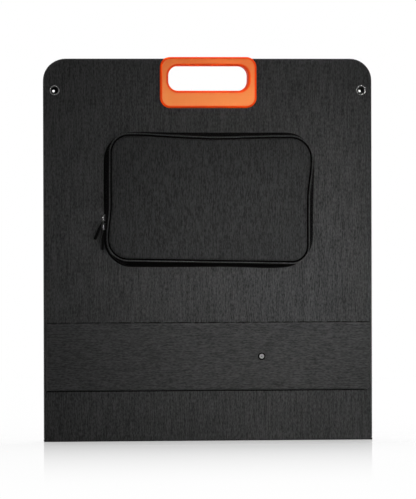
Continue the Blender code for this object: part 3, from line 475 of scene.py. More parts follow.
def setLights(s):
    for name, (place, aim, size, power, wide) in s["lamps"].items():
        lamp = bpy.data.lights.new(name, "AREA")
        lamp.shape = "DISK"
        lamp.size = size
        lamp.energy = power
        lamp.spread = math.radians(wide)
        holder = addObject(name, lamp)
        holder.location = place
        holder.rotation_euler = (Vector(place) - Vector(aim)).to_track_quat("Z", "Y").to_euler()
    world = bpy.data.worlds.new("studio")
    world.use_nodes = True
    bpy.context.scene.world = world
    tree = world.node_tree
    # white to the camera; to mirrors and glass a white band at the horizon, with a dim room over it
    path = wire(tree, "LightPath").outputs
    way = wire(tree, "SeparateXYZ", {0: wire(tree, "TexCoord").outputs["Generated"]}).outputs[2]
    band = spread(tree, calc(tree, "ABSOLUTE", way), *s["band"], 1.0, s["room"])
    mirror = calc(tree, "MAXIMUM", path["Is Glossy Ray"], path["Is Transmission Ray"])
    level = calc(tree, "MAXIMUM", times(tree, mirror, band), path["Is Camera Ray"], s["sky"])
    feed(tree, tree.nodes["Background"], {0: (1, 1, 1, 1), 1: level})


floorSet = {
    "foot": (0.27, 0.02, 0),  # half the object's foot
    "shadow": 0.25,  # share of plain lit floor at the foot; the rest is seen white
    "shadowReach": 0.5,
    "mirror": 0.52, "mirrorReach": 1.25,  # gloss at the foot, gone at its reach
    "seen": 0.80, "thrown": 0.34,  # how pale the floor is to the camera, and for the light that it throws back
}


def setFloor(s):
    # a flat sheet; the white world stands behind it
    grid = points(np.linspace(-4, 4, 9)[:, None], np.linspace(-4, 2.6, 8), 0.0)
    material, tree, shader, coord = startMaterial("paleFloor")
    # away from the object the camera sees plain white; near it the floor keeps its shadow and a faint mirror image
    path = wire(tree, "LightPath").outputs
    seen = calc(tree, "MAXIMUM", path["Is Camera Ray"], path["Is Glossy Ray"])
    past = vector(tree, "SUBTRACT", vector(tree, "ABSOLUTE", coord)[0], s["foot"])[0]
    far = vector(tree, "LENGTH", vector(tree, "MAXIMUM", past, (0, 0, 0))[0])["Value"]
    near = calc(tree, "MAXIMUM", calc(tree, "SUBTRACT", 1.0, calc(tree, "DIVIDE", far, s["mirrorReach"])), 0.0)
    shade = calc(tree, "EXPONENT", calc(tree, "DIVIDE", far, -s["shadowReach"]))
    white = times(tree, calc(tree, "SUBTRACT", 1.0, times(tree, shade, s["shadow"])), seen)
    pale = mixColour(tree, seen, (*[s["thrown"]] * 3, 1), (*[s["seen"]] * 3, 1))
    feed(tree, shader, {
        "Base Color": mixColour(tree, white, pale, (0, 0, 0, 1)),
        "Emission Color": mixColour(tree, white, (0, 0, 0, 1), (1, 1, 1, 1)),
        "Emission Strength": 1, "Roughness": 0.6, "Specular IOR Level": 0,
        "Coat Weight": times(tree, near, near, s["mirror"]), "Coat Roughness": 0.02,
    })
    floor = buildPiece("floor", [(grid, False, False)], material)


setLights(lightSet)
setFloor(floorSet)
bpy.context.scene.view_settings.view_transform = "Standard"
print("stage set")

coverSet = {
    # inset and depth in mm, from the flat outer face over the round edge to the lip at the inner face
    "rim": [(5.0, 0), (3.6, 0), (2.2, 0.16), (1.1, 0.6), (0.35, 1.4), (0, 2.6), (0, 7.3), (0.25, 8.3),
            (0.8, 8.85), (1.5, 9.0), (1.5, 1.2), (5.0, 1.2)],
    "footRadius": 1.2, "topRadius": 36.0, "notchRadius": 12.0, "notchEdge": 1.0, "eyeletHole": 4.8,
    "gripHalf": 67.5,  # the solid handle's opening, which sets the notch
    "gripBar": 13.6, "gripTall": 42.0, "barrelWall": 3.7, "notchRoom": 0.3,  # mm, down from the handle's top
}

eyeletX = (eyeletLow.x + eyeletHigh.x) / 2
eyeletZ = (eyeletLow.z + eyeletHigh.z) / 2
gripTop = gripHigh.z - coverSet["gripBar"] * mm
gripFoot = gripTop - coverSet["gripTall"] * mm
barrelFoot = gripFoot - coverSet["barrelWall"] * mm
notchFoot = barrelFoot - coverSet["notchRoom"] * mm
notchHalf = (coverSet["gripHalf"] + coverSet["barrelWall"] + coverSet["notchRoom"]) * mm


def leafCorners(s):
    half = leafWide / 2
    foot, top = s["footRadius"] * mm, s["topRadius"] * mm
    edge, inner = s["notchEdge"] * mm, s["notchRadius"] * mm
    right = [(half, leafFoot, foot), (half, leafTop, top), (notchHalf, leafTop, edge), (notchHalf, notchFoot, inner)]
    return right + [(-x, z, r) for x, z, r in reversed(right)]


def eyeletBores(s, depths, side):
    ring = [(s["eyeletHole"], depth) for depth in depths]
    return [turnedStack(ring, x, eyeletZ, side, 24) for x in (-eyeletX, eyeletX)]


def dressCover(side, s):
    # the rim's profile carried round the leaf, with flat faces from it to the eyelets' bores
    stacks = [ringStack(leafCorners(s), s["rim"], side, 10), *eyeletBores(s, (0, s["rim"][-1][1]), side)]
    dress(side + "CoverCloth", stacks, coverCloth, side + "_leaf", "cover_fabric", side + "_cover", fills=ends(3))


stitchSet = {"pitch": 4.2, "length": 3.0, "thick": 0.32, "sink": 0.1}


def stitches(name, path, up, material, s):
    # threads laid along a closed path at even steps: each is a long six-point lozenge, its ends sunk in the cloth
    closed = np.concatenate([path, path[:1]])
    run = runLength(closed)
    count = int(run[-1] / (s["pitch"] * mm))
    at = (np.arange(count) + 0.5) * run[-1] / count
    middle = pick(at, run, closed)
    ahead = unit(pick(at + 0.5 * mm, run, closed) - middle)
    up = np.array(up, float)
    half, thick, sink = ahead * s["length"] * mm / 2, s["thick"] * mm, up * s["sink"] * mm
    side = np.cross(ahead, up) * thick
    over = np.broadcast_to(up * thick, side.shape)
    lozenge = np.stack([-half - sink, side, over, -side, -over, half - sink], 1)
    faces = np.array([[0, 1, 2], [0, 2, 3], [0, 3, 4], [0, 4, 1], [5, 2, 1], [5, 3, 2], [5, 4, 3], [5, 1, 4]])
    faces = (np.arange(count)[:, None, None] * 6 + faces).reshape(-1, 3)
    return meshPiece(name, (middle[:, None] + lozenge).reshape(-1, 3), faces, material)


liningSet = {
    "edge": [(1.8, 6.0), (1.8, 8.7), (2.1, 9.1), (3.0, 9.25)],
    "window": [(-0.3, 6.0), (-0.3, 8.8), (-0.6, 9.1), (-1.6, 9.25)],
    "windowRadius": 3.0, "stitchOut": 4.0, "back": 6.0, "face": 9.25,
}


def dressLining(side, s):
    # one profile carried round the leaf and one round the module's window, with flat faces between
    window = box2d(filmLow.x, filmHigh.x, filmLow.z, filmHigh.z, s["windowRadius"] * mm)
    stacks = [
        ringStack(leafCorners(coverSet), s["edge"], side, 10),
        ringStack(window, s["window"], side, 6),
        *eyeletBores(coverSet, (s["back"], s["face"]), side),
    ]
    dress(side + "LiningCloth", stacks, liningCloth, side + "_leaf", "lining_fabric", side + "_lining", fills=ends(4))
    seam = leafPoint(cornerPath(window, -s["stitchOut"] * mm), s["face"] * mm, side)
    facing = (0, 1, 0) if side == "front" else (0, -1, 0)
    fit(stitches(side + "WindowStitch", seam, facing, thread, stitchSet), side + "_leaf", "lining_fabric")


handleSet = {
    "drop": 0.6, "gripDrop": 1.2,  # mm that the flange's foot and the hole's top sit below the solid's
    "radius": 17.0, "gripHalf": 66.2, "gripRadius": 16.0, "barrelHalf": 71.2, "barrelStep": 0.6, "barrelRadius": 12.0,
    "proud": 3.0,
    "fillet": (5.0, 2.6), "gripFillet": (5.4, 2.6), "innerProud": 2.6, "innerFillet": (1.2, 1.2),
    "magnetRadius": 5.3, "magnetX": 45.0, "magnetRise": 14.0, "magnetSeat": 1.75,
}


def fillet(wide, deep, steps):
    # quarter of an ellipse, from the wall to the flat
    a = np.linspace(0, math.pi / 2, steps + 1)
    return [(wide * (1 - c), deep * (1 - s)) for c, s in zip(np.cos(a), np.sin(a))]


def dressHandle(side, s):
    # barrel, flange and hole are rounded boxes; the outer half is one closed section over all three,
    # the inner half has small rounds and two round seats for the magnets
    half, low, high = (gripHigh.x - gripLow.x) / 2, gripLow.z - s["drop"] * mm, gripHigh.z
    flange = box2d(-half, half, low, high, s["radius"] * mm)
    half = s["gripHalf"] * mm
    grip = box2d(-half, half, gripFoot, gripTop - s["gripDrop"] * mm, s["gripRadius"] * mm)
    half = s["barrelHalf"] * mm
    barrel = box2d(-half, half, barrelFoot, high - s["barrelStep"] * mm, s["barrelRadius"] * mm)
    deep = leafDeep / mm

    def band(outline, profile):
        return ringStack(outline, profile, side, 14)

    outer = [
        band(barrel, [(0, deep), (0, 0.1)]),
        band(flange, [(0.25, 0.1), (0, 0.05)]),
        band(flange, [(a, b - s["proud"]) for a, b in fillet(*s["fillet"], 7)]),
        band(grip, [(-a, b - s["proud"]) for a, b in reversed(fillet(*s["gripFillet"], 7))]),
        band(grip, [(0, deep * 0.5), (0, deep)]),
    ]
    dress(side + "HandleOuter", [(np.concatenate(outer), True, True)], handleOrange, side + "_leaf", "handle_plastic",
          side + "_handle_outer")
    face = deep + s["innerProud"]
    bend = fillet(*s["innerFillet"], 4)
    wall = band(flange, [(0, deep + 0.1)] + [(a, face - b) for a, b in bend])
    hole = band(grip, [(0, deep + 0.1)] + [(-a, face - b) for a, b in bend])
    seat = [(s["magnetRadius"], face), (s["magnetRadius"], face - s["magnetSeat"])]
    seatRise = low + s["magnetRise"] * mm
    seats = [turnedStack(seat, x * mm, seatRise, side, 28) for x in (-s["magnetX"], s["magnetX"])]
    fills = [[(0, -1), (1, -1), (2, 0), (3, 0)], [(0, 0), (1, 0)], [(2, 1)], [(3, 1)]]
    dress(side + "HandleInner", [wall, hole, *seats], handleOrange, side + "_leaf", "handle_plastic",
          side + "_handle_inner", fills=fills)


metalSet = {
    # radius and depth in mm; depth 0 is the leaf's outer face
    "eyelet": [(4.1, 1.4), (4.3, 0.6), (5.2, -0.2), (6.1, -1.0), (6.7, -1.8), (7.4, -2.0), (8.1, -1.4),
               (8.3, -0.6), (8.25, -0.1), (7.6, -0.05), (4.6, -0.05), (4.6, 10.3), (6.1, 10.35), (6.2, 10.7),
               (5.4, 11.0), (3.1, 10.95), (2.3, 10.7), (2.6, 10.2), (4.0, 9.8)],
    "lean": {"left": (-0.9, 0, -1.6), "right": (-1.1, 0, -0.9)},  # mm that the lip in the bore sits off centre
    "bore": 4.0, "lipRun": 1.2,  # radius inside which the lip leans, and over how far
    "washer": [(4.9, 9.3), (4.9, 10.0), (7.4, 10.05), (8.25, 9.6), (8.25, 9.3)],
    "cap": [(0, -6.75), (0.8, -6.75), (1.3, -7.0), (1.8, -7.2), (2.8, -7.15), (3.7, -6.8), (4.0, -6.25), (3.9, -5.8),
            (2.2, -5.7), (2.2, -3.9), (4.7, -3.9), (4.7, -1.1), (2.5, -1.1), (2.5, -3.5), (0, -3.5)],
    # the dark disc in the cap's dimple is painted shade
    "dot": [(0, -6.95), (0.9, -6.95), (1.4, -6.85), (1.45, -6.4), (0, -6.4)],
    # the near-black ring round the cap is painted shadow of the gap
    "gapShadow": [(3.6, -5.0), (6.3, -5.0), (6.2, -5.85), (5.4, -6.1), (3.6, -6.0)],
    "stud": [(0, -3.2), (1.3, -3.2), (1.9, -2.8), (2.0, -2.4), (1.6, -1.8), (1.6, -0.8), (4.3, -0.8), (4.4, -0.5),
             (4.4, -0.2), (1.5, -0.2), (1.5, 1.1), (0, 1.1)],
    "snapShift": (-3.1, 0.9),  # mm in x and z from the solid's place
}


def dressMetal(side, s):
    # softened profiles turned round the axis of each eyelet and of the snap
    for label, x in (("left", -eyeletX), ("right", eyeletX)):
        for part in ("eyelet", "washer"):
            ring = soften(s[part], closed=True)
            lip = smoothStep((s["bore"] - ring[:, :1]) / s["lipRun"])[..., None]
            grid = turnedStack(ring, x, eyeletZ, side, 40) + lip * np.array(s["lean"][label]) * mm
            dress(f"{side}{part.title()}{label.title()}", [(grid, True, True)], nickel, side + "_leaf",
                  "eyelet_nickel", f"{side}_{part}_{label}", sharp=50)
    snapX = (snapLow.x + snapHigh.x) / 2 + s["snapShift"][0] * mm
    snapZ = (snapLow.z + snapHigh.z) / 2 + s["snapShift"][1] * mm
    for part, body, material, segments, replaced in (
        ("cap", "_stand", snapNickel, 32, [side + "_snap_cap"]),
        ("stud", "_leaf", snapNickel, 32, [side + "_snap_stud"]),
        # dark disc: painted shade in the cap's dimple
        ("dot", "_stand", boxPlastic, 28, []),
        # near-black ring: painted shadow of the gap round the cap
        ("gapShadow", "_stand", paintedShadeCloth, 28, []),
    ):
        hollow = part == "gapShadow"
        grid = turnedStack(soften(s[part], closed=hollow), snapX, snapZ, side, segments)
        dress(side + "Snap" + part.title(), [(grid, hollow, True)], material, side + body, "snap_nickel", *replaced,
              sharp=50)


for side in ("front", "rear"):
    dressCover(side, coverSet)
    dressLining(side, liningSet)
    dressHandle(side, handleSet)
    dressMetal(side, metalSet)
print("leaves dressed")

flapSet = {
    "back": 0.35,  # mm off the leaf's face
    "thick": 5.3, "hingeThick": 1.7,
    "taper": 30.0,  # mm below the hinge where the flap reaches its full thickness
    "edgeRound": 1.5,
    "hingeRound": 2.5,  # how much tighter the round is at the hinge
    "lip": 1.7,  # mm of the painted shadow band that shows below the free edge
    "lipSide": 1.5, "lipTop": 1.2, "lipOff": 0.75, "lipHalf": 0.35, "freeRadius": 9.5, "wave": 0.22,
}


def dressFlap(side, s):
    # thickness is a function of x and z: it grows from the hinge down, and rounds off at the free edges
    left, right, low, high = flapLow.x, flapHigh.x, flapLow.z, flapHigh.z
    even = np.linspace(-1, 1, 161)
    x = (left + right) / 2 + (right - left) / 2 * (0.5 * np.sin(even * math.pi / 2) + 0.5 * even)
    bow = s["freeRadius"] * mm
    near = np.clip((x - (right - bow)) / bow, 0, 1)
    foot = low + bow - np.sqrt(np.maximum(bow ** 2 - (near * bow) ** 2, 0))
    t = (1 - np.cos(np.linspace(0, math.pi, 61))) / 2
    z = high + (foot[:, None] - high) * t[None]
    roll = s["edgeRound"] * mm

    def shoulder(gap):
        return roundOff(1 - gap / roll)

    edge = shoulder(z - foot[:, None]) * shoulder(np.minimum(x - left, right - x))[:, None]
    edge = edge * shoulder((high - z) * s["hingeRound"])
    grow = smoothStep((high - z) / (s["taper"] * mm))
    deep = s["hingeThick"] + (s["thick"] - s["hingeThick"]) * grow
    wave = np.sin(31 * x)[:, None] * np.sin(52 * z + 1.3) + 0.6 * np.sin(67 * x + 2)[:, None] * np.sin(24 * z)
    deep = deep - s["wave"] * (1 + 0.5 * wave) * grow
    flat = points(x[:, None], z)
    front = leafPoint(flat, -(s["back"] + deep * edge) * mm, side)
    back = leafPoint(flat, -s["back"] * mm, side)
    loop = np.concatenate([front, back[:, ::-1]], 1)
    # the two faces meet at every edge
    dress(side + "StandFlap", [loop], flapCloth, side + "_stand", "stand_fabric", side + "_stand_cover",
          side + "_stand_board", side + "_stand_lining", sharp=60)
    # painted shadow along the free edge: a thin flat band of near-black cloth with a round lower edge, for the dark
    # line below the flap
    run = np.linspace(left + s["lipSide"] * mm, right - bow * 1.1, 61)
    a, lip = circle(20), s["lip"] / 2
    rise = low + (s["lipTop"] - lip + (s["lipTop"] + lip) * squared(np.cos(a), 0.4)) * mm
    grid = leafPoint(points(run[:, None], rise), -(s["lipOff"] + s["lipHalf"] * np.sin(a)) * mm, side)
    dress(side + "FlapEdgeShadow", [grid], paintedShadeCloth, side + "_stand", "lining_fabric", fills=ends(), sharp=60)


hingeSet = {
    # the flap's hinge, in mm: above and below the flap's top edge, its wall, its lift off the leaf and its climb
    "rise": 2.0, "reach": 9.0, "thick": 0.55, "lift": 0.35, "climb": 2.15,
    "bend": (1.5, -2.5),  # mm from the top edge where the cloth starts and ends its turn
    "seam": 0.65, "seamRise": 0.7, "seamSide": 1.5,
    "seamDeep": (-0.12, 0.14),  # depth of the seam's middle, and half its thickness
    # the fold at the spine, in mm above the foot
    "fold": (1.9, 12.0), "foldThick": 0.35, "foldLift": 0.32, "foldSink": 0.2, "foldBend": (2.6, 5.2),
    "sinkFrom": 9, "sinkRun": 3,
    "side": 1.0,
}


def foldStrip(name, out, z, lift, thick, material):
    # a strip across x that follows heights z at a lift off the leaf's face, with a thin closed wall
    path = points(out * leafHalf + out * lift * mm, z)
    off = unit(np.gradient(path, axis=0))[:, ::-1] * (-1, 1) * thick / 2
    x = np.linspace(flapLow.x + hingeSet["side"] * mm, flapHigh.x - hingeSet["side"] * mm, 41)
    grid = sweepX(x, np.concatenate([path + off, (path - off)[::-1]]))
    piece = buildPiece(name, [grid], material, ends(), sharp=60)
    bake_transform(piece)


def dressHinges(side, s):
    out, top = -1 if side == "front" else 1, flapHigh.z
    # fabric hinge of the flap: from the leaf above, over the step, and on to the flap
    z = np.linspace(top + s["rise"] * mm, top - s["reach"] * mm, 25)
    lift = s["lift"] + s["climb"] * smoothStep((top + s["rise"] * mm - z) / (s["reach"] * mm))
    foldStrip(side + "FlapHinge", out, z, lift, s["thick"] * mm, flapCloth)
    # dark seam over the hinge: a flat bead whose height wavers along x
    x = np.linspace(flapLow.x + s["seamSide"] * mm, flapHigh.x - s["seamSide"] * mm, 400)
    half = s["seam"] * mm * (1 + 0.55 * np.sin(190 * x) * np.sin(67 * x + 1) + 0.25 * np.sin(510 * x))
    a = circle(10)
    rise = top + (s["rise"] + s["seamRise"]) * mm + half[:, None] * np.cos(a)
    depth = s["seamDeep"][0] + s["seamDeep"][1] * np.sin(a)
    grid = leafPoint(points(x[:, None], rise), depth * mm, side)
    dress(side + "HingeSeam", [grid], tapeCloth, side + "_leaf", "cover_fabric", fills=ends())
    # fabric fold at the spine: from the spine's side wall up on to the leaf's face
    z = np.linspace(*s["fold"], 25) * mm
    lift = s["foldLift"] - s["foldSink"] * smoothStep((z - s["sinkFrom"] * mm) / (s["sinkRun"] * mm))
    foldStrip(side + "SpineFold", out, z, lift, s["foldThick"] * mm, coverCloth)


for side in ("front", "rear"):
    dressFlap(side, flapSet)
    dressHinges(side, hingeSet)
print("stand flaps dressed")

spineSet = {"wall": 1.2, "lip": 3.6, "corner": 2.0}


def dressSpine(s):
    # channel section: flat base, quarter-round corners and upright lips, swept along x
    half = leafHalf / mm
    a = np.linspace(0, math.pi / 2, 9)
    r, w, top = s["corner"], s["wall"], s["lip"]
    right = points(half - r + r * np.sin(a), r - r * np.cos(a))
    inner = points(half - r + (r - w) * np.sin(a), r - (r - w) * np.cos(a))
    lip = [(half, top - 0.3), (half - 0.3, top), (half - w + 0.2, top), (half - w, top - 0.2)]
    one = np.concatenate([right, lip, inner[::-1]])
    grid = sweepX(np.linspace(-leafWide / 2, leafWide / 2, 41), np.concatenate([one, one[::-1] * (-1, 1)]) * mm)
    dress("spineCloth", [grid], coverCloth, "spine", "cover_fabric", "spine_cover", fills=ends())


def dressSpineLining():
    # thin flat strip along x, with round edges
    low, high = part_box("spine_lining")
    a = circle(32)
    z = (low.z + high.z) / 2 + (high.z - low.z) / 2 * squared(np.sin(a), 0.5)
    section = points(high.y * squared(np.cos(a), 0.25), z)
    grid = sweepX(np.linspace(low.x + 0.5 * mm, high.x - 0.5 * mm, 31), section)
    dress("spineLining", [grid], liningCloth, "spine", "lining_fabric", "spine_lining", fills=ends())


dressSpine(spineSet)
dressSpineLining()
print("spine dressed")

pocketSet = {
    "radius": (50.0, 45.0, 46.0, 47.0),  # mm: lower right, upper right, upper left, lower left
    "ease": 0.07,  # mm outside the solid
    "taper": 5.2, "deep": 23.0, "zip": 12.5, "zipHalf": 0.15, "wall": 1.4, "crown": 1.15, "tape": 4.2,
    "piping": 0.92, "hingeHalf": 140.5, "hingeRise": 4.0, "hingeRun": (4.0, 3.0), "clear": 0.2,
    "panel": (4.4, 22.0), "cord": (0.45, 22.35),  # inset and height of the front panel's edge and of the piping
    "panelFoot": 21.5, "panelRoll": 1.5, "panelThick": 1.2, "slack": 0.55,
    # soft pushes on the foot of the wall, in mm from the pocket's middle: x, z, reach, then the push in x and z
    "pushes": [(-105, 110, 35, 0, 1.1), (100, -110, 42, 0, -2.3), (170, 45, 40, 2.2, 0)],
    "pushTop": 7.5, "pushRun": 5.0,  # mm up the wall where the pushes have died out, and over how far
    "front": (-165.9, 165.0, -102.8, 105.5),  # mm from the pocket's middle: left, right, low, high of the soft front
    "frontRadius": (30.0, 38.0, 31.0, 34.0),
    "swing": 4.4, "lean": 6.2, "tip": 3.5,  # mm: lower left out, upper right out, lower edge tipped
    "dips": [(-0.75, 0.32, 3.9), (0.08, 0.36, -2.5)],  # along the top edge: place, width, height in mm
    "turnFrom": 11.0, "turnRun": 9.5,  # mm up the wall where it starts to lean over to the soft front, and over how far
    "arc": 16, "edge": 40,
}


def pocketOutline(s):
    # the outline at the cover, how fast each point moves in as the outline shrinks, and the pushes at its foot
    ease = s["ease"] * mm
    high, low, half = trayHigh.z + ease, trayLow.z - ease, trayHigh.x + ease
    corners = box2d(-half, half, low, high, np.array(s["radius"]) * mm)
    # the run starts and ends at the two lower corners, so that the hinge side is the wrap from last to first
    flat = cornerPath(corners, 0, s["arc"], s["edge"])
    inward = (cornerPath(corners, mm, s["arc"], s["edge"]) - flat) / mm
    middle, foot = np.array([0, (low + high) / 2]), 0 * flat
    for x, z, reach, dx, dz in s["pushes"]:
        away = (flat - middle) / mm - (x, z)
        foot += np.exp(-(away ** 2).sum(-1, keepdims=True) / reach ** 2) * (dx, dz) * mm
    return flat, inward, foot


pocketFlat, pocketInward, pocketFoot = pocketOutline(pocketSet)
pocketMid = np.array([0, (trayLow.z + trayHigh.z) / 2])
pocketHalf = np.array([trayHigh.x, (trayHigh.z - trayLow.z) / 2])


def pocketFront(s):
    # outline of the soft front, slumped off the sewn one: the top edge dips, the lower left corner swings out,
    # the upper right leans out and the lower edge tips
    left, right, low, high = np.array(s["front"]) * mm
    corners = box2d(left, right, pocketMid[1] + low, pocketMid[1] + high, np.array(s["frontRadius"]) * mm)
    flat = cornerPath(corners, 0, s["arc"], s["edge"])
    u, v = np.moveaxis((flat - pocketMid) / pocketHalf, -1, 0)
    dx = s["lean"] * smoothStep(v / 0.6) * (1 + u) / 2 - s["swing"] * smoothStep((-0.1 - v) / 0.5) * (1 - u) / 2
    dip = sum(tall * np.exp(-(((u - at) / wide) ** 2)) for at, wide, tall in s["dips"])
    return flat + points(dx, dip * (1 + v) / 2 - s["tip"] * u * (1 - v) / 2) * mm


pocketSoft = pocketFront(pocketSet)


def pocketPoints(inset, out, s=pocketSet):
    # inset and out are in mm, single lengths or one per point of the outline;
    # the wall tapers up to the zip, then leans over to the soft front
    inset, out = [np.broadcast_to(part, len(pocketFlat))[:, None] for part in (inset, out)]
    share = smoothStep((out - s["turnFrom"]) / s["turnRun"])
    foot = pocketFoot * smoothStep((s["pushTop"] - out) / s["pushRun"])
    sewn = pocketFlat + foot + pocketInward * s["taper"] / s["deep"] * out * mm
    flat = sewn * (1 - share) + pocketSoft * share + pocketInward * inset * mm
    return leafPoint(flat, -out[:, 0] * mm, "front")


def pocketRows(pairs):
    # rings round the pocket at (inset, out) pairs
    return np.stack([pocketPoints(inset, out) for inset, out in pairs])


def hingeShare(s):
    # one along the straight lower side of the pocket and nought along the zip, with a short change between
    low = smoothStep((trayLow.z + s["hingeRise"] * mm - pocketFlat[:, 1]) / (s["hingeRun"][1] * mm))
    return low * smoothStep((s["hingeHalf"] * mm - np.abs(pocketFlat[:, 0])) / (s["hingeRun"][0] * mm))


def zipEdge(way, s):
    # height of a wall's edge: clear of the zip tape, or close to the hinge line along the lower side
    return s["zip"] + way * (s["zipHalf"] + s["tape"] + s["clear"] - hingeShare(s) * (s["tape"] + s["zipHalf"]))


def dressTray(s):
    # floor and lower side wall: a sewn flange at the cover, then the wall up to the zip tape or the hinge
    edge, wall = zipEdge(-1, s), s["wall"]
    rows = [(-0.1, 0.3), (-0.25, 0.8), (0.15, 1.6), (0.1, 3.0), (0, edge - 0.6), (0.2, edge), (wall - 0.2, edge),
            (wall, edge - 0.4), (wall, 2.0), (wall + 0.6, 1.3)]
    # the tray wall is near-black cloth: painted shade for the shaded wall
    dress("pocketTray", [pocketRows(rows)], paintedShadeCloth, "front_leaf", "cover_fabric", "pocket_tray", fills=ends(),
          sharp=50)
    rows = [(wall + 0.9, 1.32), (wall + 0.6, 1.45), (wall + 0.9, 1.7), (wall + 2.0, 1.8)]
    dress("trayLining", [pocketRows(rows)], liningCloth, "front_leaf", "cover_fabric", fills=ends(), sharp=50)


def dressLid(s):
    # side wall of the lid: up from the zip tape or the hinge, then in under the piping to the panel's edge; its
    # near-black cloth is painted shade for the shaded wall and for the groove between piping and panel
    edge, wall = zipEdge(1, s), s["wall"]
    rows = [(0.2, edge), (0, edge + 0.5), (0, 19.6), (0.5, 20.6), (2.2, 20.9), (5.2, 20.9), (5.2, 20.2),
            (wall + 0.6, 20.0), (wall, 19.0), (wall, edge + 0.4), (wall - 0.2, edge)]
    dress("lidGusset", [(pocketRows(rows), True, True)], paintedShadeCloth, "pocket_lid", "cover_fabric", sharp=50)
    # front panel: rings that shrink from the seam to the middle, raised by a crown and by faint slack in the cloth
    rim = pocketPoints(*s["panel"])[:, [0, 2]]
    share = np.concatenate([[0, 0.004, 0.01, 0.02, 0.034, 0.052], np.linspace(0.08, 1, 26)])[:, None]
    flat = rim * (1 - share[..., None]) + pocketMid * share[..., None]
    u, v = np.moveaxis((flat - pocketMid) / pocketHalf, -1, 0)
    roll = roundOff(1 - share / 0.05)
    slack = 0.30 * np.sin(3.1 * u + 4.2 * v + 0.6) + 0.22 * np.sin(7.3 * u - 2.6 * v + 1.9)
    slack = slack + 0.16 * np.sin(4.4 * v - 9.5 * u)
    corner = np.exp(-(((u + 0.86) / 0.16) ** 2 + ((v - 0.72) / 0.3) ** 2))
    out = s["panelFoot"] + s["panelRoll"] * roll + s["crown"] * smoothStep(share / 0.55)
    out = out + s["slack"] * slack * smoothStep(share / 0.25) + 0.35 * corner * roll
    front = leafPoint(flat, -out * mm, "front")
    back = leafPoint(flat, -np.minimum(out - s["panelThick"], 21.2) * mm, "front")
    dress("lidPanel", [np.concatenate([front[::-1], back])], pocketCloth, "pocket_lid", "cover_fabric", "pocket_lid",
          sharp=60)
    # corded edge: a circle carried round the seam
    r, (inset, rise) = s["piping"], s["cord"]
    rows = pocketRows([(inset + r * math.cos(a), rise + r * math.sin(a)) for a in circle(14)])
    dress("lidPiping", [(rows, True, True)], pipingCloth, "pocket_lid", "piping_fabric", "pocket_piping")


coilSet = {"pitch": 1.6, "steps": 6, "rise": 0.55, "half": 0.95, "wire": 0.24, "up": (0.31, 0.55, 0.77)}


def dressZip(body, node, way, s, coil):
    # tape: a flat band with a rolled edge; coil: a helix of small loops along the tape's inner edge
    order = np.nonzero(hingeShare(s) < 0.5)[0]  # from one lower corner over the top to the other
    start = s["zip"] + way * 0.2
    end = s["zip"] + way * (s["zipHalf"] + s["tape"])
    inner = start + way * 0.3
    band = soften([(0.0, end), (-0.05, start + way * 1.9), (-0.05, inner), (0.9, inner), (0.9, end)], 1, closed=True)
    rows = pocketRows(band)[:, order].transpose(1, 0, 2)
    dress(node + "Band", [rows], tapeCloth, body, "zip_tape", node, fills=ends(), sharp=50)
    centre, outer = pocketRows([(0.2, start + way), (-0.6, start + way)])[:, order]
    run = runLength(centre)
    turns = int(run[-1] / (coil["pitch"] * mm))
    at = np.linspace(0, run[-1], turns * coil["steps"])
    turn = np.arange(len(at))[:, None] * 2 * math.pi / coil["steps"]
    rise = coil["rise"] * mm * np.cos(turn) * pick(at, run, unit(outer - centre))
    path = pick(at, run, centre) + rise + coil["half"] * mm * np.sin(turn) * np.array([0, 1.0, 0])
    grid = tubeStack(path, coil["wire"] * mm, 4, up=coil["up"])
    dress(node + "Coil", [grid], coilNylon, body, "zip_tape", fills=ends(), sharp=80)


dressTray(pocketSet)
dressLid(pocketSet)
dressZip("front_leaf", "zip_tape_tray", -1, pocketSet, coilSet)
dressZip("pocket_lid", "zip_tape_lid", 1, pocketSet, coilSet)
print("pocket dressed")

sliderSet = {
    "half": 4.0, "tail": 2.8, "length": 11.0,
    "gap": 1.4,  # mm from the pocket's wall to the slider's plate
    "sink": 0.35, "plate": 1.8, "bail": 9.8, "space": 2.2, "wire": 0.62,
    "archFoot": 1.2, "archSink": 0.75,  # mm: where the bail's feet start, and how far its top sits down in the space
    # the plate's share of its outline and its rise in mm
    "crown": [(0.86, 0.0), (0.97, 0.25), (1.0, 0.6), (1.0, 1.2), (0.95, 1.6), (0.8, 1.85), (0.5, 2.0), (0.0, 2.05)],
}
zipIn = pocketSet["taper"] * pocketSet["zip"] / pocketSet["deep"]
seatX = -trayHigh.x + (zipIn - pocketSet["ease"]) * mm
seatY = -leafHalf - pocketSet["zip"] * mm


def dressSlider(label, s):
    # plate: a softened outline that shrinks as it rises; bail: a wire arch that joins the plate at both ends
    low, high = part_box("zip_slider_" + label)
    z = (low.z + high.z) / 2
    half, tall = s["half"], s["length"] / 2
    right = [(s["tail"], -tall), (half, tall / 3), (half, tall)]
    shape = soften(right + [(-across, along) for across, along in reversed(right)], 3, closed=True)
    gap = s["gap"] - s["sink"]

    def place(across, along, out):
        return points(seatX - (gap + out) * mm, seatY + across * mm, z + along * mm)

    rows = np.stack([place(k * shape[:, 0], k * shape[:, 1], out) for k, out in s["crown"]])
    a = np.linspace(0, math.pi, 25)
    lift = s["archFoot"] + (s["plate"] + s["space"] - s["archSink"]) * squared(np.sin(a), 0.7)
    arch = tubeStack(place(0, -(s["bail"] / 2 - s["wire"]) * np.cos(a), lift), s["wire"] * mm, 10, up=(0, 1, 0))
    dress("slider" + label.title(), [rows], sliderBlack, label + "_slider", "slider_metal", "zip_slider_" + label,
          fills=[[(0, 0)]], sharp=45)
    dress("bail" + label.title(), [arch], sliderMetal, label + "_slider", "slider_metal", fills=ends(), sharp=45)
    return z


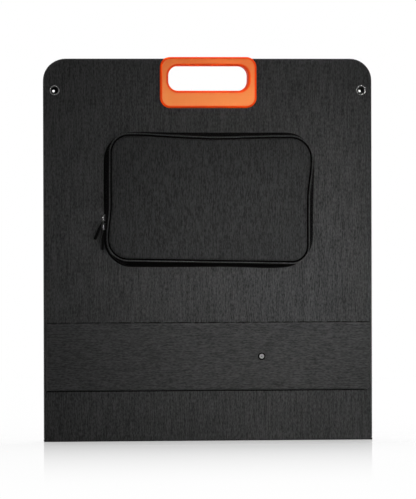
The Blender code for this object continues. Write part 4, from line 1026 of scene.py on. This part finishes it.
pullSet = {
    "long": 39.5, "wide": 5.2, "thick": 4.8,
    "start": 5.2,  # mm from the hinge bar to the tab
    "tip": 0.65, "nose": (2.2, 1.6), "neck": (1.2, 1.4),  # mm at the ends: left off, then where each rounds and its run
    "waist": 0.6, "thin": 0.55,  # mm at the neck: narrower on each side, and half the thickness
    "tilt": {"upper": 22.5, "lower": 3.0},
    "loop": (1.95, 3.1),  # half width and half length of the wire loop
    "wire": 0.5,
}


def dressPull(label, z, s):
    # rubber tab on its hinge bar: width and thickness change along its length, with a round nose
    tilt = math.radians(s["tilt"][label])
    down = np.array([-math.sin(tilt), 0, -math.cos(tilt)])
    off = np.array([-math.cos(tilt), 0, math.sin(tilt)])
    across = np.array([0, 1, 0])
    bar = sliderSet["gap"] + sliderSet["plate"] + sliderSet["space"] / 2
    pivot = np.array([seatX - bar * mm, seatY, z])
    t = np.linspace(0, 1, 40)
    at = s["start"] + (s["long"] - s["tip"] - s["start"]) * t
    nose = roundOff((at - (s["long"] - s["nose"][0])) / s["nose"][1], 0.02)
    neck = roundOff((s["start"] + s["neck"][0] - at) / s["neck"][1], 0.1)
    wide = (s["wide"] / 2 - s["waist"] + s["waist"] * smoothStep((t - 0.2) / 0.6)) * nose * neck
    thick = (s["thin"] + (s["thick"] / 2 - s["thin"]) * smoothStep(t / 0.5)) * nose * neck
    a = circle(20)
    ca, sa = squared(np.cos(a), 0.55)[:, None], squared(np.sin(a), 0.55)[:, None]
    at, wide, thick = [part[:, None, None] * mm for part in (at, wide, thick)]
    tab = pivot + at * down + wide * ca * across + thick * sa * off
    # wire loop: round the hinge bar under the bail and down into the tab
    b = circle(40)[:, None]
    half, tall = s["loop"]
    loop = pivot + half * squared(np.cos(b), 0.5) * mm * across + (tall - tall * squared(np.sin(b), 0.5)) * mm * down
    ring = tubeStack(loop, s["wire"] * mm, 8, up=off, closed=True)
    dress("pull" + label.title(), [tab], pullRubber, label + "_pull", "pull_rubber", "zip_pull_" + label,
          fills=ends(), sharp=60)
    dress("pullLoop" + label.title(), [(ring, True, True)], sliderMetal, label + "_pull", "pull_rubber")


for label in ("upper", "lower"):
    dressPull(label, dressSlider(label, sliderSet), pullSet)
print("zip dressed")

cellSet = {
    "pitch": 0.128, "bars": 0.062, "finger": 0.0021, "wafer": (srgb((13, 17, 34)), srgb((19, 25, 46))),
    "fingerGrey": srgb((120, 124, 134)), "barGrey": srgb((196, 198, 202)),
}


def cellMaterial(s):
    # dark blue wafers: fine fingers across, two bright bars down, and a slight change of tone from cell to cell
    material, tree, shader, coord = startMaterial("solarCell")
    parts = wire(tree, "SeparateXYZ", {0: coord}).outputs
    corner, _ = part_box("front_cell_string")
    across = calc(tree, "DIVIDE", calc(tree, "SUBTRACT", parts[0], corner.x), s["pitch"])
    along = calc(tree, "DIVIDE", calc(tree, "SUBTRACT", parts[2], corner.z), s["pitch"])
    cellId = wire(tree, "CombineXYZ", {0: calc(tree, "FLOOR", across), 1: calc(tree, "FLOOR", along)}).outputs[0]
    tone = wire(tree, "TexWhiteNoise", {"Vector": cellId}).outputs["Value"]

    def line(share, inner, outer):
        # one in the middle of each repeat and nought away from it
        away = calc(tree, "ABSOLUTE", calc(tree, "SUBTRACT", calc(tree, "FRACT", share), 0.5))
        return spread(tree, away, inner, outer, 1.0, 0.0)

    bar = line(times(tree, calc(tree, "FRACT", across), s["pitch"] / s["bars"]), 0.012, 0.018)
    finger = line(calc(tree, "DIVIDE", parts[2], s["finger"]), 0.03, 0.05)
    base = mixColour(tree, times(tree, finger, 0.55), mixColour(tree, tone, *s["wafer"]), s["fingerGrey"])
    feed(tree, shader, {
        "Base Color": mixColour(tree, bar, base, s["barGrey"]), "Metallic": times(tree, bar, 0.7), "Roughness": 0.3,
    })
    return material


def filmMaterial():
    # clear top film with a fine dimpled skin
    material, tree, shader, _, cloud = grained("clearFilm", 700.0, 0.25, 0.0002)
    feed(tree, shader, {
        "Base Color": srgb((44, 48, 58)), "Alpha": spread(tree, cloud, 0.0, 1.0, 0.10, 0.16),
        "Roughness": spread(tree, cloud, 0.0, 1.0, 0.16, 0.22),
    })
    return material


def paint(material, *names):
    for name in names:
        nodes[name].data.materials.clear()
        nodes[name].data.materials.append(material)


cellBlue, clearFilm = cellMaterial(cellSet), filmMaterial()
for side in ("front", "rear"):
    paint(coreBoard, side + "_board")
    paint(backSheet, side + "_backsheet")
    paint(cellBlue, side + "_cell_string")
    paint(clearFilm, side + "_clear_film")
    paint(dullNickel, side + "_magnet_left", side + "_magnet_right")
paint(copper, "module_link")
paint(boxPlastic, "junction_box_base", "junction_box_lid", "cable_gland")
print("panels painted")

screwSet = {
    "head": [(0, -0.1), (0.9, -0.1), (1.1, -0.55), (1.6, -0.6), (2.1, -0.45), (2.4, -0.05), (2.4, 0.3), (0, 0.3)],
    "handle": [(74.0, 51.0), (-74.0, 51.0), (22.0, 14.0), (-22.0, 14.0)],  # mm from the handle's middle and foot
    "box": 5.5,  # mm in from the lid's edges
    "boxScale": 0.8,
}


def dressScrews(s):
    # the head's profile turned round each screw's axis
    head = soften(s["head"])
    for side in ("front", "rear"):
        face = leafDeep / mm + handleSet["innerProud"]
        inner = [(r, face - d) for r, d in head]
        stacks = [turnedStack(inner, x * mm, gripLow.z + z * mm, side, 20) for x, z in s["handle"]]
        dress(side + "HandleScrews", stacks, dullNickel, side + "_leaf", "magnet_nickel")
    low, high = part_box("junction_box_lid")
    face = (low.y + leafHalf) / mm
    inset, scale = s["box"] * mm, s["boxScale"]
    outer = [(scale * r, face + scale * d) for r, d in head]
    spots = [(x, z) for x in (low.x + inset, high.x - inset) for z in (low.z + inset, high.z - inset)]
    stacks = [turnedStack(outer, x, z, "front", 20) for x, z in spots]
    dress("boxScrews", stacks, dullNickel, "front_leaf", "box_plastic")


dressScrews(screwSet)
print("screws set")
